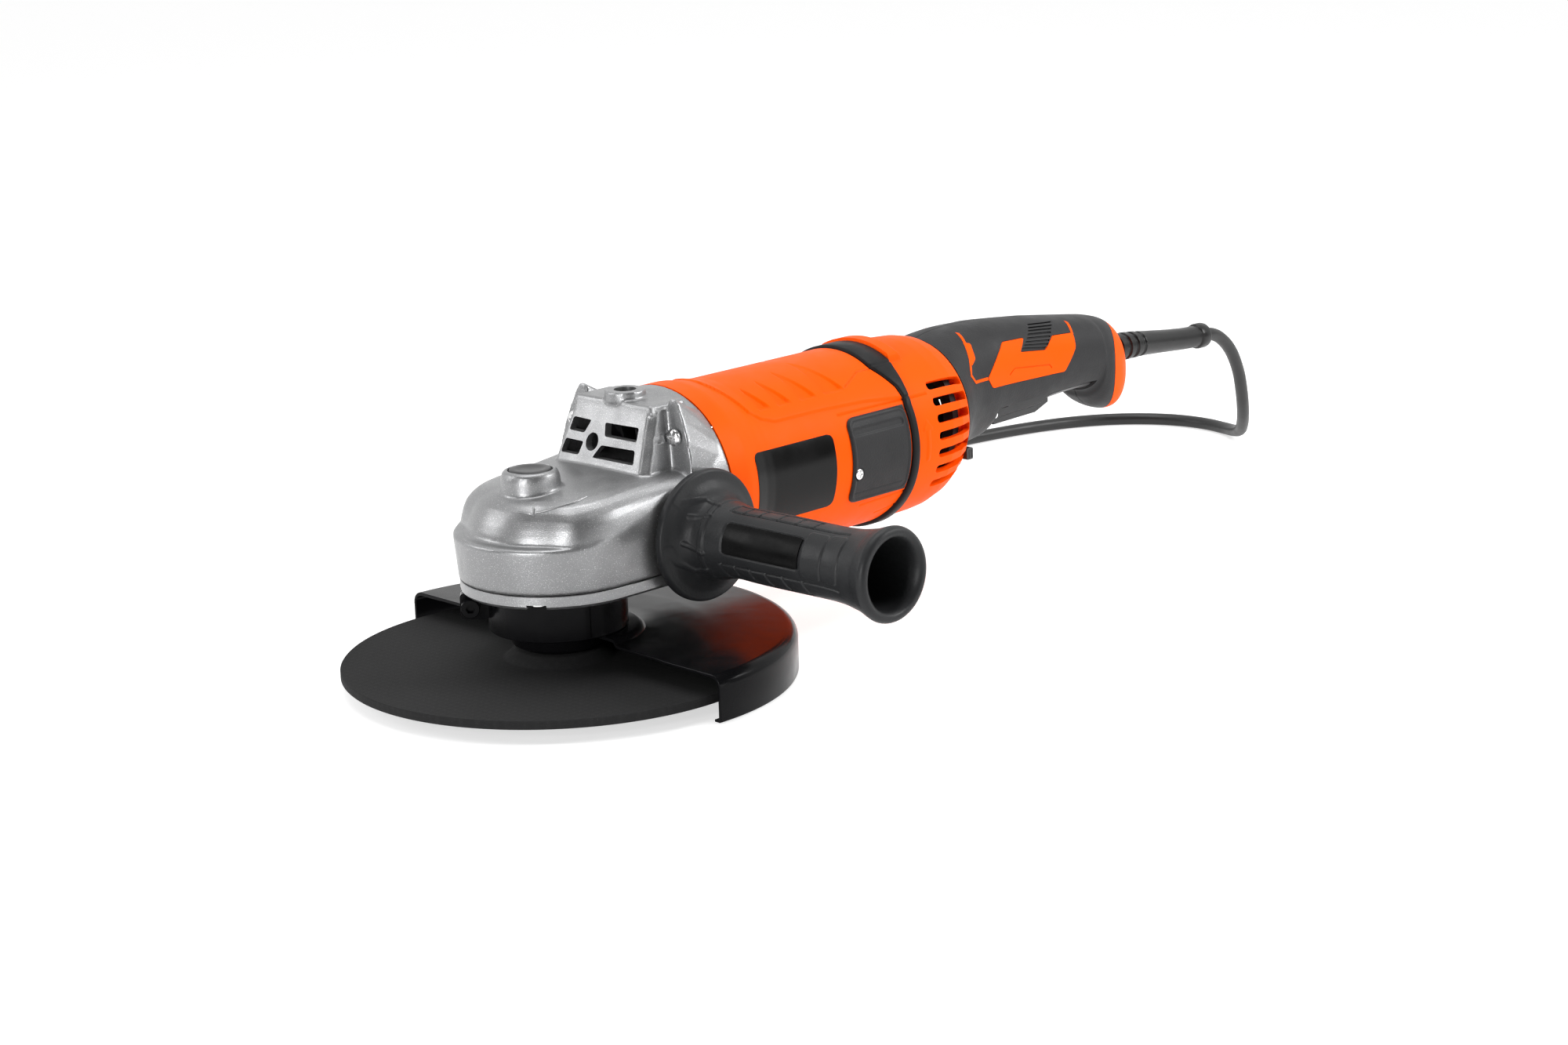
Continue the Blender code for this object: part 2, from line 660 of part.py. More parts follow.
def make_guard():
    sheet = GUARD_SHEET
    under = GUARD_TOP - sheet
    outline = [(27, 24.6), (41, 24.6), (45, under), (118.5, under)]
    outline += arc_points(118.5, GUARD_TOP - 6.5, 6.5 - sheet, 90, 0, 3)
    outline += [(GUARD_RADIUS - sheet, -0.6), (GUARD_RADIUS - 5, -0.6), (GUARD_RADIUS - 5, FLOOR_Z)]
    outline += [(GUARD_RADIUS - 1, FLOOR_Z), (GUARD_RADIUS, FLOOR_Z + 1)]
    outline += arc_points(118.5, GUARD_TOP - 6.5, 6.5, 0, 90, 3)
    outline += [(46, GUARD_TOP), (42, 26.3), (27, 26.3)]
    guard = turned("guard_shell", "Z", (0, 0, 0), outline, 22, *GUARD_SPAN)
    finish(guard, BLACK_STEEL, (0, 0, 0))

    collar = tube("guard_collar", "Z", (0, 0, 0), 33.7, COLLAR_RADIUS, 26.7, 47.6, 32)
    lug = block("lug", (34.5, -8, LUG_Z - 7), (LUG_RADIUS + 5.5, 8, LUG_Z + 7))
    slit = block("slit", (30, -1.2, 20), (60, 1.2, 60))
    hole = rod("hole", "Y", (LUG_RADIUS, 0, LUG_Z), 3.0, -20, 20, 14)
    for tool in (lug, slit, hole):
        turn_about_z(tool, LUG_ANGLE)
    join(collar, lug)
    cut(collar, tube("inside", "Z", (0, 0, 0), 10, 33.7, 20, 60, 32), slit, hole)
    finish(collar, BLACK_STEEL, (0, 0, 0))
    screw = turned(
        "clamp_screw", "Y", (LUG_RADIUS, 0, LUG_Z),
        ((0, 14.5), (5, 14.5), (5, 8.4), (2.7, 8.4), (2.7, -12), (0, -12)), 18,
    )
    cut(screw, prism("socket", hexagon(2.5, LUG_RADIUS, LUG_Z), 11.5, 16, "Y"))
    turn_about_z(screw, LUG_ANGLE)
    finish(screw, BLACK_STEEL)


def arc_points(cx, cy, radius, start, end, steps):
    found = []
    for j in range(steps + 1):
        a = math.radians(start + (end - start) * j / steps)
        found.append((cx + radius * math.cos(a), cy + radius * math.sin(a)))
    return found


def hexagon(radius, cx=0.0, cy=0.0):
    return arc_points(cx, cy, radius, 0, 300, 5)


def turn_about_z(thing, degrees):
    a = math.radians(degrees)
    for vertex in thing.data.vertices:
        x, y = vertex.co.x, vertex.co.y
        vertex.co.x = x * math.cos(a) - y * math.sin(a)
        vertex.co.y = x * math.sin(a) + y * math.cos(a)


# ---------------------------------------------------------------- motor


def notched(inner, outer, arms, share, cy, cz):
    """A closed outline of arms about (cy, cz): four corners for each arm, in order."""
    found = []
    for arm in range(arms):
        for radius, t in ((inner, -share), (outer, -share), (outer, share), (inner, share)):
            a = 2 * math.pi * (arm + t / 2) / arms
            found.append((cy + radius * math.cos(a), cz + radius * math.sin(a)))
    return found


def make_armature():
    centre = (0, 0, MOTOR_Z)
    shaft = (
        (0, 30), (4.0, 30), (4.0, 41.4), (6.0, 41.4), (6.0, 199), (5.0, 199), (5.0, 216), (0, 216),
    )
    finish(turned("armature_shaft", "X", centre, shaft, 20), STEEL, centre)

    lamination = notched(18, ARMATURE_RADIUS, 12, 0.72, 0, MOTOR_Z)
    core = prism("armature_core", lamination, CORE_FRONT, CORE_REAR, "X")
    cut(core, rod("bore", "X", centre, 6.3, 90, 170, 20))
    finish(core, STEEL, centre)
    bulge = ((9, 0), (20, 0), (24, 4), (24, 8.5), (9, 8.5))
    for name, plane, way in (
        ("armature_coil_front", CORE_FRONT - GAP, -1), ("armature_coil_rear", CORE_REAR + GAP, 1),
    ):
        outline = [(r, plane + way * h) for r, h in bulge]
        finish(turned(name, "X", centre, outline, 24), COPPER, centre)

    commutator = prism(
        "commutator", notched(COMMUTATOR_RADIUS - 0.8, COMMUTATOR_RADIUS, 18, 0.8, 0, MOTOR_Z), 176, 197, "X"
    )
    cut(commutator, rod("bore", "X", centre, 6.3, 170, 200, 20))
    finish(commutator, COPPER, centre)

    fan = prism("cooling_fan", notched(12, 44, 17, 0.16, 0, MOTOR_Z), 64, 74, "X")
    join(fan, rod("plate", "X", centre, 44.5, 73, 76, 40))
    cut(fan, rod("bore", "X", centre, 6.3, 60, 80, 20))
    finish(fan, DARK_PLASTIC, centre)


def make_stator():
    centre = (0, 0, MOTOR_Z)
    inner, outer = 29.5, 40.5
    core = tube("stator_core", "X", centre, ARMATURE_RADIUS + 0.8, 46.2, CORE_FRONT, CORE_REAR, 32)
    # A field coil lies in each pair of pockets, on either side of its pole.
    for start in (3, 162, 183, 342):
        cut(core, tube("pocket", "X", centre, inner - 0.5, outer + 0.5, 90, 170, 4, start, start + 15))
    finish(core, STEEL)
    for name, base in (("field_coil_upper", 0), ("field_coil_lower", 180)):
        coil = tube(name, "X", centre, inner, outer, CORE_FRONT - 8, CORE_FRONT - 1, 16, base + 4, base + 176)
        back = tube("back", "X", centre, inner, outer, CORE_REAR + 1, CORE_REAR + 8, 16, base + 4, base + 176)
        for start in (4, 163):
            run = (CORE_FRONT - 8, CORE_REAR + 8)
            join(coil, tube("run", "X", centre, inner, outer, *run, 4, base + start, base + start + 13))
        join(coil, back)
        finish(coil, COPPER)


def make_brushes():
    for side, word in ((-1, "left"), (1, "right")):
        def across(near, far):
            return sorted((side * near, side * far))

        def box_at_brush(name, half_x, y0, y1, half_z):
            low = (BRUSH_X - half_x, y0, MOTOR_Z - half_z)
            return block(name, low, (BRUSH_X + half_x, y1, MOTOR_Z + half_z))

        y0, y1 = across(20.5, 44.5)
        holder = box_at_brush(f"brush_holder_{word}", 6.5, y0, y1, 8.5)
        cut(holder, box_at_brush("inside", 4.4, y0 - 5, y1 + 5, 6.4))
        finish(holder, BRASS)
        brush = box_at_brush(f"carbon_brush_{word}", 4.1, *across(COMMUTATOR_RADIUS + GAP, 37), 6.1)
        finish(brush, CARBON, (BRUSH_X, side * (COMMUTATOR_RADIUS + GAP), MOTOR_Z))


# ---------------------------------------------------------------- housings


def make_motor_housing():
    centre = (0, 0, MOTOR_Z)
    front = HEAD_REAR + GAP
    outline = (
        (HOUSING_BORE, front), (54, front), (54, 92), (52.6, 100), (51.0, 107), (HOUSING_RADIUS, 114),
        (HOUSING_RADIUS, BAND_FRONT - GAP), (48.9, BAND_FRONT - GAP), (48.9, HOUSING_REAR),
        (HOUSING_BORE, HOUSING_REAR),
    )
    housing = turned("motor_housing", "X", centre, outline, 32)
    # A bridge carries the rear bearing.
    hub = tube("hub", "X", centre, 13.3, 17.5, 203.5, 215)
    spokes = []
    for angle in (45, 135, 225, 315):
        spokes.append(tube("spoke", "X", centre, 15.5, 48, 205, 214, 3, angle - 5, angle + 5))
    join(hub, *spokes)
    join(housing, hub)
    for y in (-EAR_Y, EAR_Y):
        for z in (EAR_Z, 2 * MOTOR_Z - EAR_Z):
            cut(housing, rod("screw_hole", "X", (0, y, z), 2.0, 70, 91, 8))
    for side in (-1, 1):
        y0, y1 = sorted((side * 30, side * 60))
        cut(housing, block("brush_window", (176, y0, 64), (218, y1, 107)))
    finish(housing, ORANGE)


def make_brush_covers():
    centre = (0, 0, MOTOR_Z)
    for middle, word, side in ((0, "left", -1), (180, "right", 1)):
        cover = tube(
            f"brush_cover_{word}", "X", centre, HOUSING_RADIUS + GAP, HOUSING_RADIUS + 1.6, 174, 220.6, 10,
            middle - 28, middle + 28,
        )
        screw_x, screw_z = 178.5, 79.5
        deep = sorted((side * 45, side * 60))
        cut(cover, rod("hole", "Y", (screw_x, 0, screw_z), 2.0, *deep, 12))
        finish(cover, DARK_PLASTIC)
        surface = side * (HOUSING_RADIUS + 1.6 - 0.5)
        head = ((0, surface + side * 2.2), (2.6, surface + side * 1.9), (2.6, surface + side * 0.9),
                (1.6, surface + side * 0.9), (1.6, surface - side * 1.4), (0, surface - side * 1.4))
        screw = turned(f"brush_cover_screw_{word}", "Y", (screw_x, 0, screw_z), head, 14)
        finish(screw, STEEL)


def make_band():
    centre = (0, 0, MOTOR_Z)
    band = tube("bumper_band", "X", centre, 49.4, 52.5, BAND_FRONT, BAND_REAR, 32)
    pad = tube("pad", "X", centre, 50.8, 52.9, 214, 231, 12, 58, 122)
    join(band, pad)
    finish(band, RUBBER)


def cap_ring(x, radius, share, steps=28):
    """A circle across X, on the motor's axis at share 0 and on the swivel's axis at share 1."""
    z = MOTOR_Z + (SWIVEL_Z - MOTOR_Z) * share
    return [place("X", radius, 360 * j / steps, x, (0, 0, z)) for j in range(steps)]


def make_end_cap():
    outside = [
        cap_ring(BAND_REAR + GAP, 50.3, 0), cap_ring(240, 50.3, 0), cap_ring(258, 50.0, 0.15),
        cap_ring(268, 48.4, 0.4), cap_ring(276, 45.4, 0.75), cap_ring(CAP_REAR, SWIVEL_RADIUS, 1),
    ]
    cap = loft("end_cap", outside)
    lip = turned(
        "lip", "X", (0, 0, MOTOR_Z), ((0, 224.8), (48.9, 224.8), (48.9, 230), (0, 230)), 28
    )
    join(cap, lip)
    # The handle's neck turns behind the inward lip that this hollow leaves round the neck hole.
    inside = [
        cap_ring(220, 46.6, 0), cap_ring(240, 46.8, 0), cap_ring(258, 46.6, 0.15),
        cap_ring(267, 45.0, 0.4), cap_ring(275.4, 42.0, 0.75),
    ]
    cut(cap, loft("inside", inside), rod("neck_hole", "X", (0, 0, SWIVEL_Z), 35.0, 260, 290, 28))
    for side in (0, 180):
        for step in range(7):
            angle = -33 + 68 * step / 6
            direction = angle if side == 0 else 180 - angle
            y = -math.cos(math.radians(direction))
            z = math.sin(math.radians(direction))
            cut(cap, slot_cutter(y, z))
    finish(cap, ORANGE)


def slot_cutter(y, z):
    """A radial slot through the cap's wall, from x 245 to 274, in the direction (y, z)."""
    along = (-z, y)
    half = 2.5
    corners = []
    for x in (245.5, 273.5):
        for reach in (30.0, 60.0):
            for way in (-1, 1):
                corners.append((
                    x,
                    reach * y + way * half * along[0],
                    MOTOR_Z + 1.5 + reach * z + way * half * along[1],
                ))
    faces = ((0, 1, 3, 2), (4, 6, 7, 5), (0, 4, 5, 1), (2, 3, 7, 6), (0, 2, 6, 4), (1, 5, 7, 3))
    return piece("slot", corners, faces)


# ---------------------------------------------------------------- side handle


def make_side_handle():
    centre = (SIDE_HANDLE_X, 0, SIDE_HANDLE_Z)
    start, end = GRIP_FLANGE_Y, GRIP_END_Y
    outline = [
        (7.4, start), (31, start), (GRIP_FLANGE_RADIUS, start - 1.4), (GRIP_FLANGE_RADIUS, start - 4.2),
        (GRIP_FLANGE_RADIUS - 2, start - 5.5), (25.6, start - 8.6), (21.6, start - 14.4), (20.2, start - 22),
        (18.6, start - 32), (GRIP_RADIUS, start - 60), (18.8, start - 95), (19.6, start - 112),
        (21.6, start - 122), (24.2, start - 128), (24.6, end + 4), (23.4, end + 0.8), (21.6, end),
        (19.4, end + 1.2), (18.0, end + 8), (15.6, end + 45), (0, end + 46), (0, start - 30),
        (7.4, start - 30),
    ]
    finish(turned("side_handle_grip", "Y", centre, outline, 20), RUBBER)
    stud = (
        (0, -37.6), (THREAD_RADIUS - 0.8, -37.6), (THREAD_RADIUS, -38.6), (THREAD_RADIUS, start - 29.6),
        (0, start - 29.6),
    )
    finish(turned("side_handle_stud", "Y", centre, stud, 20), STEEL)


# ---------------------------------------------------------------- rear handle


def handle_body(name, grow=0.0, first=0, last=None):
    """The handle's outside grown or shrunk by an offset, over a run of its sections."""
    rings = []
    for x, top, bottom, half_width, power in HANDLE_SECTIONS[first:last]:
        rings.append(oval(x, top + grow, bottom - grow, half_width + grow, power))
    return loft(name, rings)


def rear_cap_zone(gap=0.0):
    """The region behind the two halves, in x and y: its front edge bows forwards towards the sides."""
    front = [(446 - 0.0185 * y * y + gap, y) for y in range(-40, 41, 5)]
    return [*front, (500, 40), (500, -40)]


def make_handle():
    neck = (
        (0, 270.5), (38.5, 270.5), (38.5, 275.0), (34.5, 275.0), (34.5, 281.6), (0, 281.6),
    )
    neck_bore = ((0, 265), (31.0, 265), (31.0, 290), (0, 290))
    swivel = (0, 0, SWIVEL_Z)
    for word, side in (("left", -1), ("right", 1)):
        shell = handle_body(f"handle_{word}")
        cut(shell, prism("rear", rear_cap_zone(), 40, 150))
        join(shell, turned("neck", "X", swivel, neck, 28))
        hollow = handle_body("hollow", -HANDLE_WALL, 1, -1)
        cut(shell, hollow, turned("bore", "X", swivel, neck_bore, 24))
        cut(shell, block("lever_opening", (LEVER_FRONT - 1, -60, 40), (LEVER_REAR + 1, 60, 86)))
        join(shell, block("screw_post", (424, -19, 100), (434, 19, 112)))
        if side < 0:
            cut(shell, block("button_slot", (281, -60, 65.4), (291, -31.1, 73.4)))
        y0, y1 = sorted((side * 0.15, side * 80))
        half = block("half", (260, y0, 20), (500, y1, 160))
        keep(shell, half)
        finish(shell, DARK_PLASTIC, swivel)
    cap = handle_body("rear_cap")
    keep(cap, prism("zone", rear_cap_zone(GAP), 40, 150))
    cut(cap, rod("cable_hole", "X", (0, 0, BOOT_START[1]), 7.4, 440, 500, 16))
    finish(cap, ORANGE, swivel)


def make_handle_inside():
    swivel = (0, 0, SWIVEL_Z)
    switch = block("switch", (340, -10, 98), (384, 10, 120))
    join(switch, block("plunger", (366, -3, 90.4), (374, 3, 99)))
    finish(switch, BLACK_PLASTIC, swivel)
    finish(block("cord_clamp", (430, -11, 88), (437, 11, 92)), BLACK_PLASTIC, swivel)

    pin = rod("lever_pin", "Y", (LEVER_PIVOT_X, 0, LEVER_PIVOT_Z), 2.0, -15.5, 15.5, 14)
    finish(pin, STEEL, swivel)

    tab = block("swivel_button", (281.5, -38.6, 66), (287, -31.5, 72.8))
    finish(tab, BLACK_PLASTIC, (281.5, -37, 69.5))


def make_lever():
    """The paddle under the handle, which rises about its front pin to press the switch's plunger."""
    lever = handle_body("trigger_lever", -1.2)
    side = (
        (LEVER_FRONT, 60), (LEVER_REAR, 60), (LEVER_REAR, 84.5), (350, 85.5), (338, 85), (LEVER_FRONT, 84),
    )
    keep(lever, prism("zone", side, -15.5, 15.5, "Y"))
    belly = prism("belly", ((334, 74.0), (372, 74.7), (384, 79.0), (384, 82), (334, 82)), -13.5, 13.5, "Y")
    join(lever, belly)
    cut(lever, rod("pin_hole", "Y", (LEVER_PIVOT_X, 0, LEVER_PIVOT_Z), 2.3, -30, 30, 14))
    cut(lever, block("notch", (LEVER_FRONT - 1, -30, 83), (345, 30, 90)))
    finish(lever, BLACK_PLASTIC, (LEVER_PIVOT_X, 0, LEVER_PIVOT_Z))
    turns, per_turn = 3.0, 10
    points = []
    for j in range(int(turns * per_turn) + 1):
        share = j / (turns * per_turn)
        x, y, _ = place("Z", 3.2, 360 * turns * share, 0, (400, 0, 0))
        points.append((x, y, 86.0 + 14.0 * share))
    wire("lever_spring", points, 0.45, STEEL, 0)


def make_boot():
    """A strain relief that droops a little and ends, square to X, on the swivel's axis."""
    (x0, z0), (x1, z1) = BOOT_START, BOOT_END
    radii = (
        (0.0, 8.8), (0.05, 8.8), (0.06, 7.4), (0.09, 7.4), (0.10, 8.5), (0.14, 8.4), (0.15, 7.2), (0.18, 7.2),
        (0.19, 8.2), (0.23, 8.1), (0.24, 7.1), (0.27, 7.1), (0.28, 7.7), (0.60, 7.0), (0.90, 6.8),
        (0.92, 8.0), (0.98, 8.0), (1.0, 7.0),
    )
    rings = []
    for t, radius in radii:
        drop = t * t * (3 - 2 * t)
        rings.append([
            (x0 + (x1 - x0) * t, radius * math.cos(a), z0 + (z1 - z0) * drop + radius * math.sin(a))
            for a in (2 * math.pi * j / 14 for j in range(14))
        ])
    finish(loft("cord_boot", rings), RUBBER, (0, 0, SWIVEL_Z))


# ---------------------------------------------------------------- mains lead


def smooth_route(route, step):
    """Points at an even step along the smooth curve through the route's own points."""
    spots = [Vector(p) for p in route]
    spots = [spots[0] * 2 - spots[1]] + spots + [spots[-1] * 2 - spots[-2]]
    fine = []
    for a, b, c, d in zip(spots, spots[1:], spots[2:], spots[3:]):
        for j in range(12):
            t = j / 12
            fine.append(0.5 * (2 * b + (c - a) * t + (2 * a - 5 * b + 4 * c - d) * t * t
                               + (3 * b - a - 3 * c + d) * t ** 3))
    fine.append(spots[-2])
    run = [0.0]
    for a, b in zip(fine, fine[1:]):
        run.append(run[-1] + (b - a).length)
    count = round(run[-1] / step)
    found = []
    for k in range(count + 1):
        want = run[-1] * k / count
        i = max(j for j in range(len(run)) if run[j] <= want + 1e-9)
        i = min(i, len(fine) - 2)
        t = (want - run[i]) / (run[i + 1] - run[i])
        found.append(tuple(fine[i].lerp(fine[i + 1], t)))
    return found


def make_cord():
    wire("cord_tube", smooth_route(CORD_ROUTE, CORD_STEP), CORD_RADIUS, RUBBER, 2)
    width = 2 * CORD_RADIUS
    inner, outer = COIL_MIDDLE - width - GAP, COIL_MIDDLE + width + GAP
    centre = (*COIL_CENTRE, 0)
    top = FLOOR_Z + COIL_HEIGHT
    outline = (
        (inner, FLOOR_Z + 3), (inner + 3, FLOOR_Z), (outer - 3, FLOOR_Z), (outer, FLOOR_Z + 3),
        (outer, top - 3), (outer - 3, top), (inner + 3, top), (inner, top - 3),
    )
    finish(turned("cord_coil", "Z", centre, outline, 30), RUBBER)
    make_plug()


def make_plug():
    """A moulded two-pin plug that lies beside the coil, its tail towards the coil."""
    y = COIL_CENTRE[1] + COIL_MIDDLE + CORD_RADIUS
    start = COIL_CENTRE[0] - 30.2
    tail = (
        (0, 12.0, 5.0, 5.0), (12, 13.0, 5.6, 5.6), (30, 15.5, 6.6, 6.6), (36, 15.9, 9.5, 12.5),
        (46, 16, 15.5, 17.0), (58, 16, 17.6, 17.8), (70, 16, 17.6, 17.8), (78, 16, 16.8, 17.0),
    )
    rings = []
    for run, z, half_height, half_width in tail:
        rings.append([
            (start - run, y + half_width * math.cos(a), z + half_height * math.sin(a))
            for a in (2 * math.pi * j / 20 for j in range(20))
        ])
    plug = loft("mains_plug", rings)
    for side in (-9.5, 9.5):
        join(plug, rod("pin", "X", (0, y + side, 16), 2.4, start - 97, start - 74, 12))
    finish(plug, BLACK_PLASTIC)


def main():
    clear_scene()
    make_spindle()
    make_wheel()
    make_ring_gear()
    make_pinion()
    make_gear_case()
    make_bearing_plate()
    make_head_screws()
    make_bearings()
    make_lock()
    make_guard()
    make_armature()
    make_stator()
    make_brushes()
    make_motor_housing()
    make_brush_covers()
    make_band()
    make_end_cap()
    make_side_handle()
    make_handle()
    make_handle_inside()
    make_lever()
    make_boot()
    make_cord()


main()
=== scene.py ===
"""The looks of a two-handed 230 mm angle grinder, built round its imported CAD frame.

Sizes are in millimetres in the frame's own axes: the origin is the centre of the spindle's end face,
+Z runs up the spindle and +X back along the motor. MM turns them into Blender's metres.
"""

import json
import math

import bmesh
import bpy
from mathutils import Matrix, Vector


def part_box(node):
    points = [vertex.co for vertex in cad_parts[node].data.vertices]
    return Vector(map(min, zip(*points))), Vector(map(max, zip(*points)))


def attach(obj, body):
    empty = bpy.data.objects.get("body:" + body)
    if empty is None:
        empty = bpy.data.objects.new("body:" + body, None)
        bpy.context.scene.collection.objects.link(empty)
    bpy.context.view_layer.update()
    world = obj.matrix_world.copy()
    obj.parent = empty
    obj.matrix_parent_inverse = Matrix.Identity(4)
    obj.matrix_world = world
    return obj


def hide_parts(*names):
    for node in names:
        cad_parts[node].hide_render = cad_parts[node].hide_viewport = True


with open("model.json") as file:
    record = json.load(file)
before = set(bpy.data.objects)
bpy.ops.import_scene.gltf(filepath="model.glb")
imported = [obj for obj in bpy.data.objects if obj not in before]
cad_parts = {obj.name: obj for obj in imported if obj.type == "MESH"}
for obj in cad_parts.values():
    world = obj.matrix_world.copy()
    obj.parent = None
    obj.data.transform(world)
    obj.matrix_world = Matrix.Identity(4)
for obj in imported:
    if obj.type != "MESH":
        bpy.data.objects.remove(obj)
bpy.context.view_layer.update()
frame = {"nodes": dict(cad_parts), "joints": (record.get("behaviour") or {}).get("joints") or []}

MM = 0.001


def joint_place(name):
    found = next(joint for joint in frame["joints"] if joint["name"] == name)
    return Vector(found["pos_m"]) / MM


def span(node):
    """A CAD node's lowest and highest corners, in millimetres to the nearest hundredth."""
    low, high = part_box(node)
    return [Vector([round(c / MM, 2) for c in corner]) for corner in (low, high)]


def middle(node):
    low, high = span(node)
    return (low + high) / 2


# Axes and reference faces, read from the frame
FLOOR_Z = span("guard_shell")[0].z
MOTOR_Z = joint_place("armature_spin").z
SWIVEL_Z = joint_place("handle_swivel").z
PIVOT = joint_place("trigger_press")
SIDE_X = middle("side_handle_stud").x
SIDE_Z = middle("side_handle_stud").z
LOCK_X = middle("lock_button").x
LOCK_TOP = span("lock_button")[1].z
HEAD_REAR = span("gear_case")[1].x
HEAD_TOP = span("gear_case")[1].z
HOUSING_FRONT = span("motor_housing")[0].x
CAP_REAR = span("end_cap")[1].x
WHEEL_RADIUS = span("grinding_wheel")[1].x
WHEEL_LOW, HUB_TOP = span("grinding_wheel")[0].z, span("grinding_wheel")[1].z
GUARD_RADIUS = span("guard_shell")[1].x
COIL = middle("cord_coil")
BOOT_START = Vector((span("cord_boot")[0].x, 0, 96.6))
BOOT_END = Vector((span("cord_boot")[1].x, 0, SWIVEL_Z))

# Shape constants shared by several pieces
SKIRT_BOTTOM = 55.3  # where the gear head's skirt meets the plate under it
PLATE_BOTTOM = 48.0
BARREL = 50.3  # radius of the motor housing
EAR_Y = 38.0
EAR_Z = 122.0
LUG_Z = 2 * MOTOR_Z - EAR_Z
FLANGE_RADIUS = 54.2  # of the gear head's rear flange
PLATE_SCREWS = ((-35.6, 25.9), (-35.6, -25.9), (34.0, -42.0), (34.0, 42.0))
LUG_ANGLE = 137.0  # about the spindle, of the collar's clamp
CORD_RADIUS = 4.0
MOTOR = (0, 0, MOTOR_Z)

# The view
VIEW_AZIMUTH = -45.33
VIEW_HEIGHT = 14.32
VIEW_ROLL = -1.94
CAMERA_PLACE = (-1.09576, -1.25134, 0.50066)
LENS = 75.6


# ---------------------------------------------------------------- stage


def make_camera():
    azimuth, height, roll = (math.radians(a) for a in (VIEW_AZIMUTH, VIEW_HEIGHT, VIEW_ROLL))
    flat = math.cos(height)
    back = Vector((math.sin(azimuth) * flat, -math.cos(azimuth) * flat, math.sin(height)))
    right = Vector((math.cos(azimuth), math.sin(azimuth), 0))
    up = back.cross(right)
    across = right * math.cos(roll) + up * math.sin(roll)
    above = up * math.cos(roll) - right * math.sin(roll)
    data = bpy.data.cameras.new("camera")
    data.lens = LENS
    data.sensor_width = 36
    camera = bpy.data.objects.new("camera", data)
    turn = Matrix((across, above, back)).transposed().to_4x4()
    camera.matrix_world = Matrix.Translation(CAMERA_PLACE) @ turn
    bpy.context.scene.collection.objects.link(camera)
    bpy.context.scene.camera = camera


def softbox(name, place, target, size, power):
    data = bpy.data.lights.new(name, "AREA")
    data.shape = "RECTANGLE"
    data.size, data.size_y = size
    data.energy = power
    light = bpy.data.objects.new(name, data)
    place = Vector(place)
    light.location = place
    light.rotation_euler = (Vector(target) - place).to_track_quat("-Z", "Y").to_euler()
    bpy.context.scene.collection.objects.link(light)


def make_sky():
    """A white backdrop over the half of the room behind the tool, and a dim studio over the other half."""
    world = bpy.data.worlds.new("studio")
    world.use_nodes = True
    tree = world.node_tree
    way = tree.nodes.new("ShaderNodeTexCoord")
    facing = tree.nodes.new("ShaderNodeVectorMath")
    facing.operation = "DOT_PRODUCT"
    facing.inputs[1].default_value = (0.70, 0.70, 0.15)
    level = tree.nodes.new("ShaderNodeMapRange")
    level.interpolation_type = "SMOOTHSTEP"
    for name, value in (("From Min", -0.1), ("From Max", 0.35), ("To Min", 0.13), ("To Max", 1.05)):
        level.inputs[name].default_value = value
    tree.links.new(way.outputs["Generated"], facing.inputs[0])
    tree.links.new(facing.outputs["Value"], level.inputs["Value"])
    tree.links.new(level.outputs["Result"], tree.nodes["Background"].inputs["Strength"])
    tree.nodes["Background"].inputs["Color"].default_value = (1, 1, 1, 1)
    bpy.context.scene.world = world


def make_stage():
    bpy.context.scene.view_settings.view_transform = "Standard"
    make_sky()
    softbox("front", (-1.3, -0.42, 0.34), (0.0, 0, 0.06), (0.16, 0.7), 11)
    softbox("left", (-0.9, 0.95, 0.72), (0.1, 0, 0.08), (0.5, 0.7), 6)
    softbox("right", (0.95, -0.9, 0.85), (0.12, 0, 0.08), (0.5, 0.5), 12)
    softbox("low", (0.55, -1.4, 0.2), (0.15, 0, 0.07), (0.9, 0.3), 3.5)
    softbox("top", (0.15, 0.1, 1.5), (0.15, 0, 0.05), (1.5, 0.7), 12)
    floor = raw("floor", [(-4000, -4000, 0), (4000, -4000, 0), (4000, 4000, 0), (-4000, 4000, 0)],
                [(0, 1, 2, 3)])
    floor.location.z = (FLOOR_Z - 0.05) * MM
    dress(floor, LOOKS["floor"])


# ---------------------------------------------------------------- materials


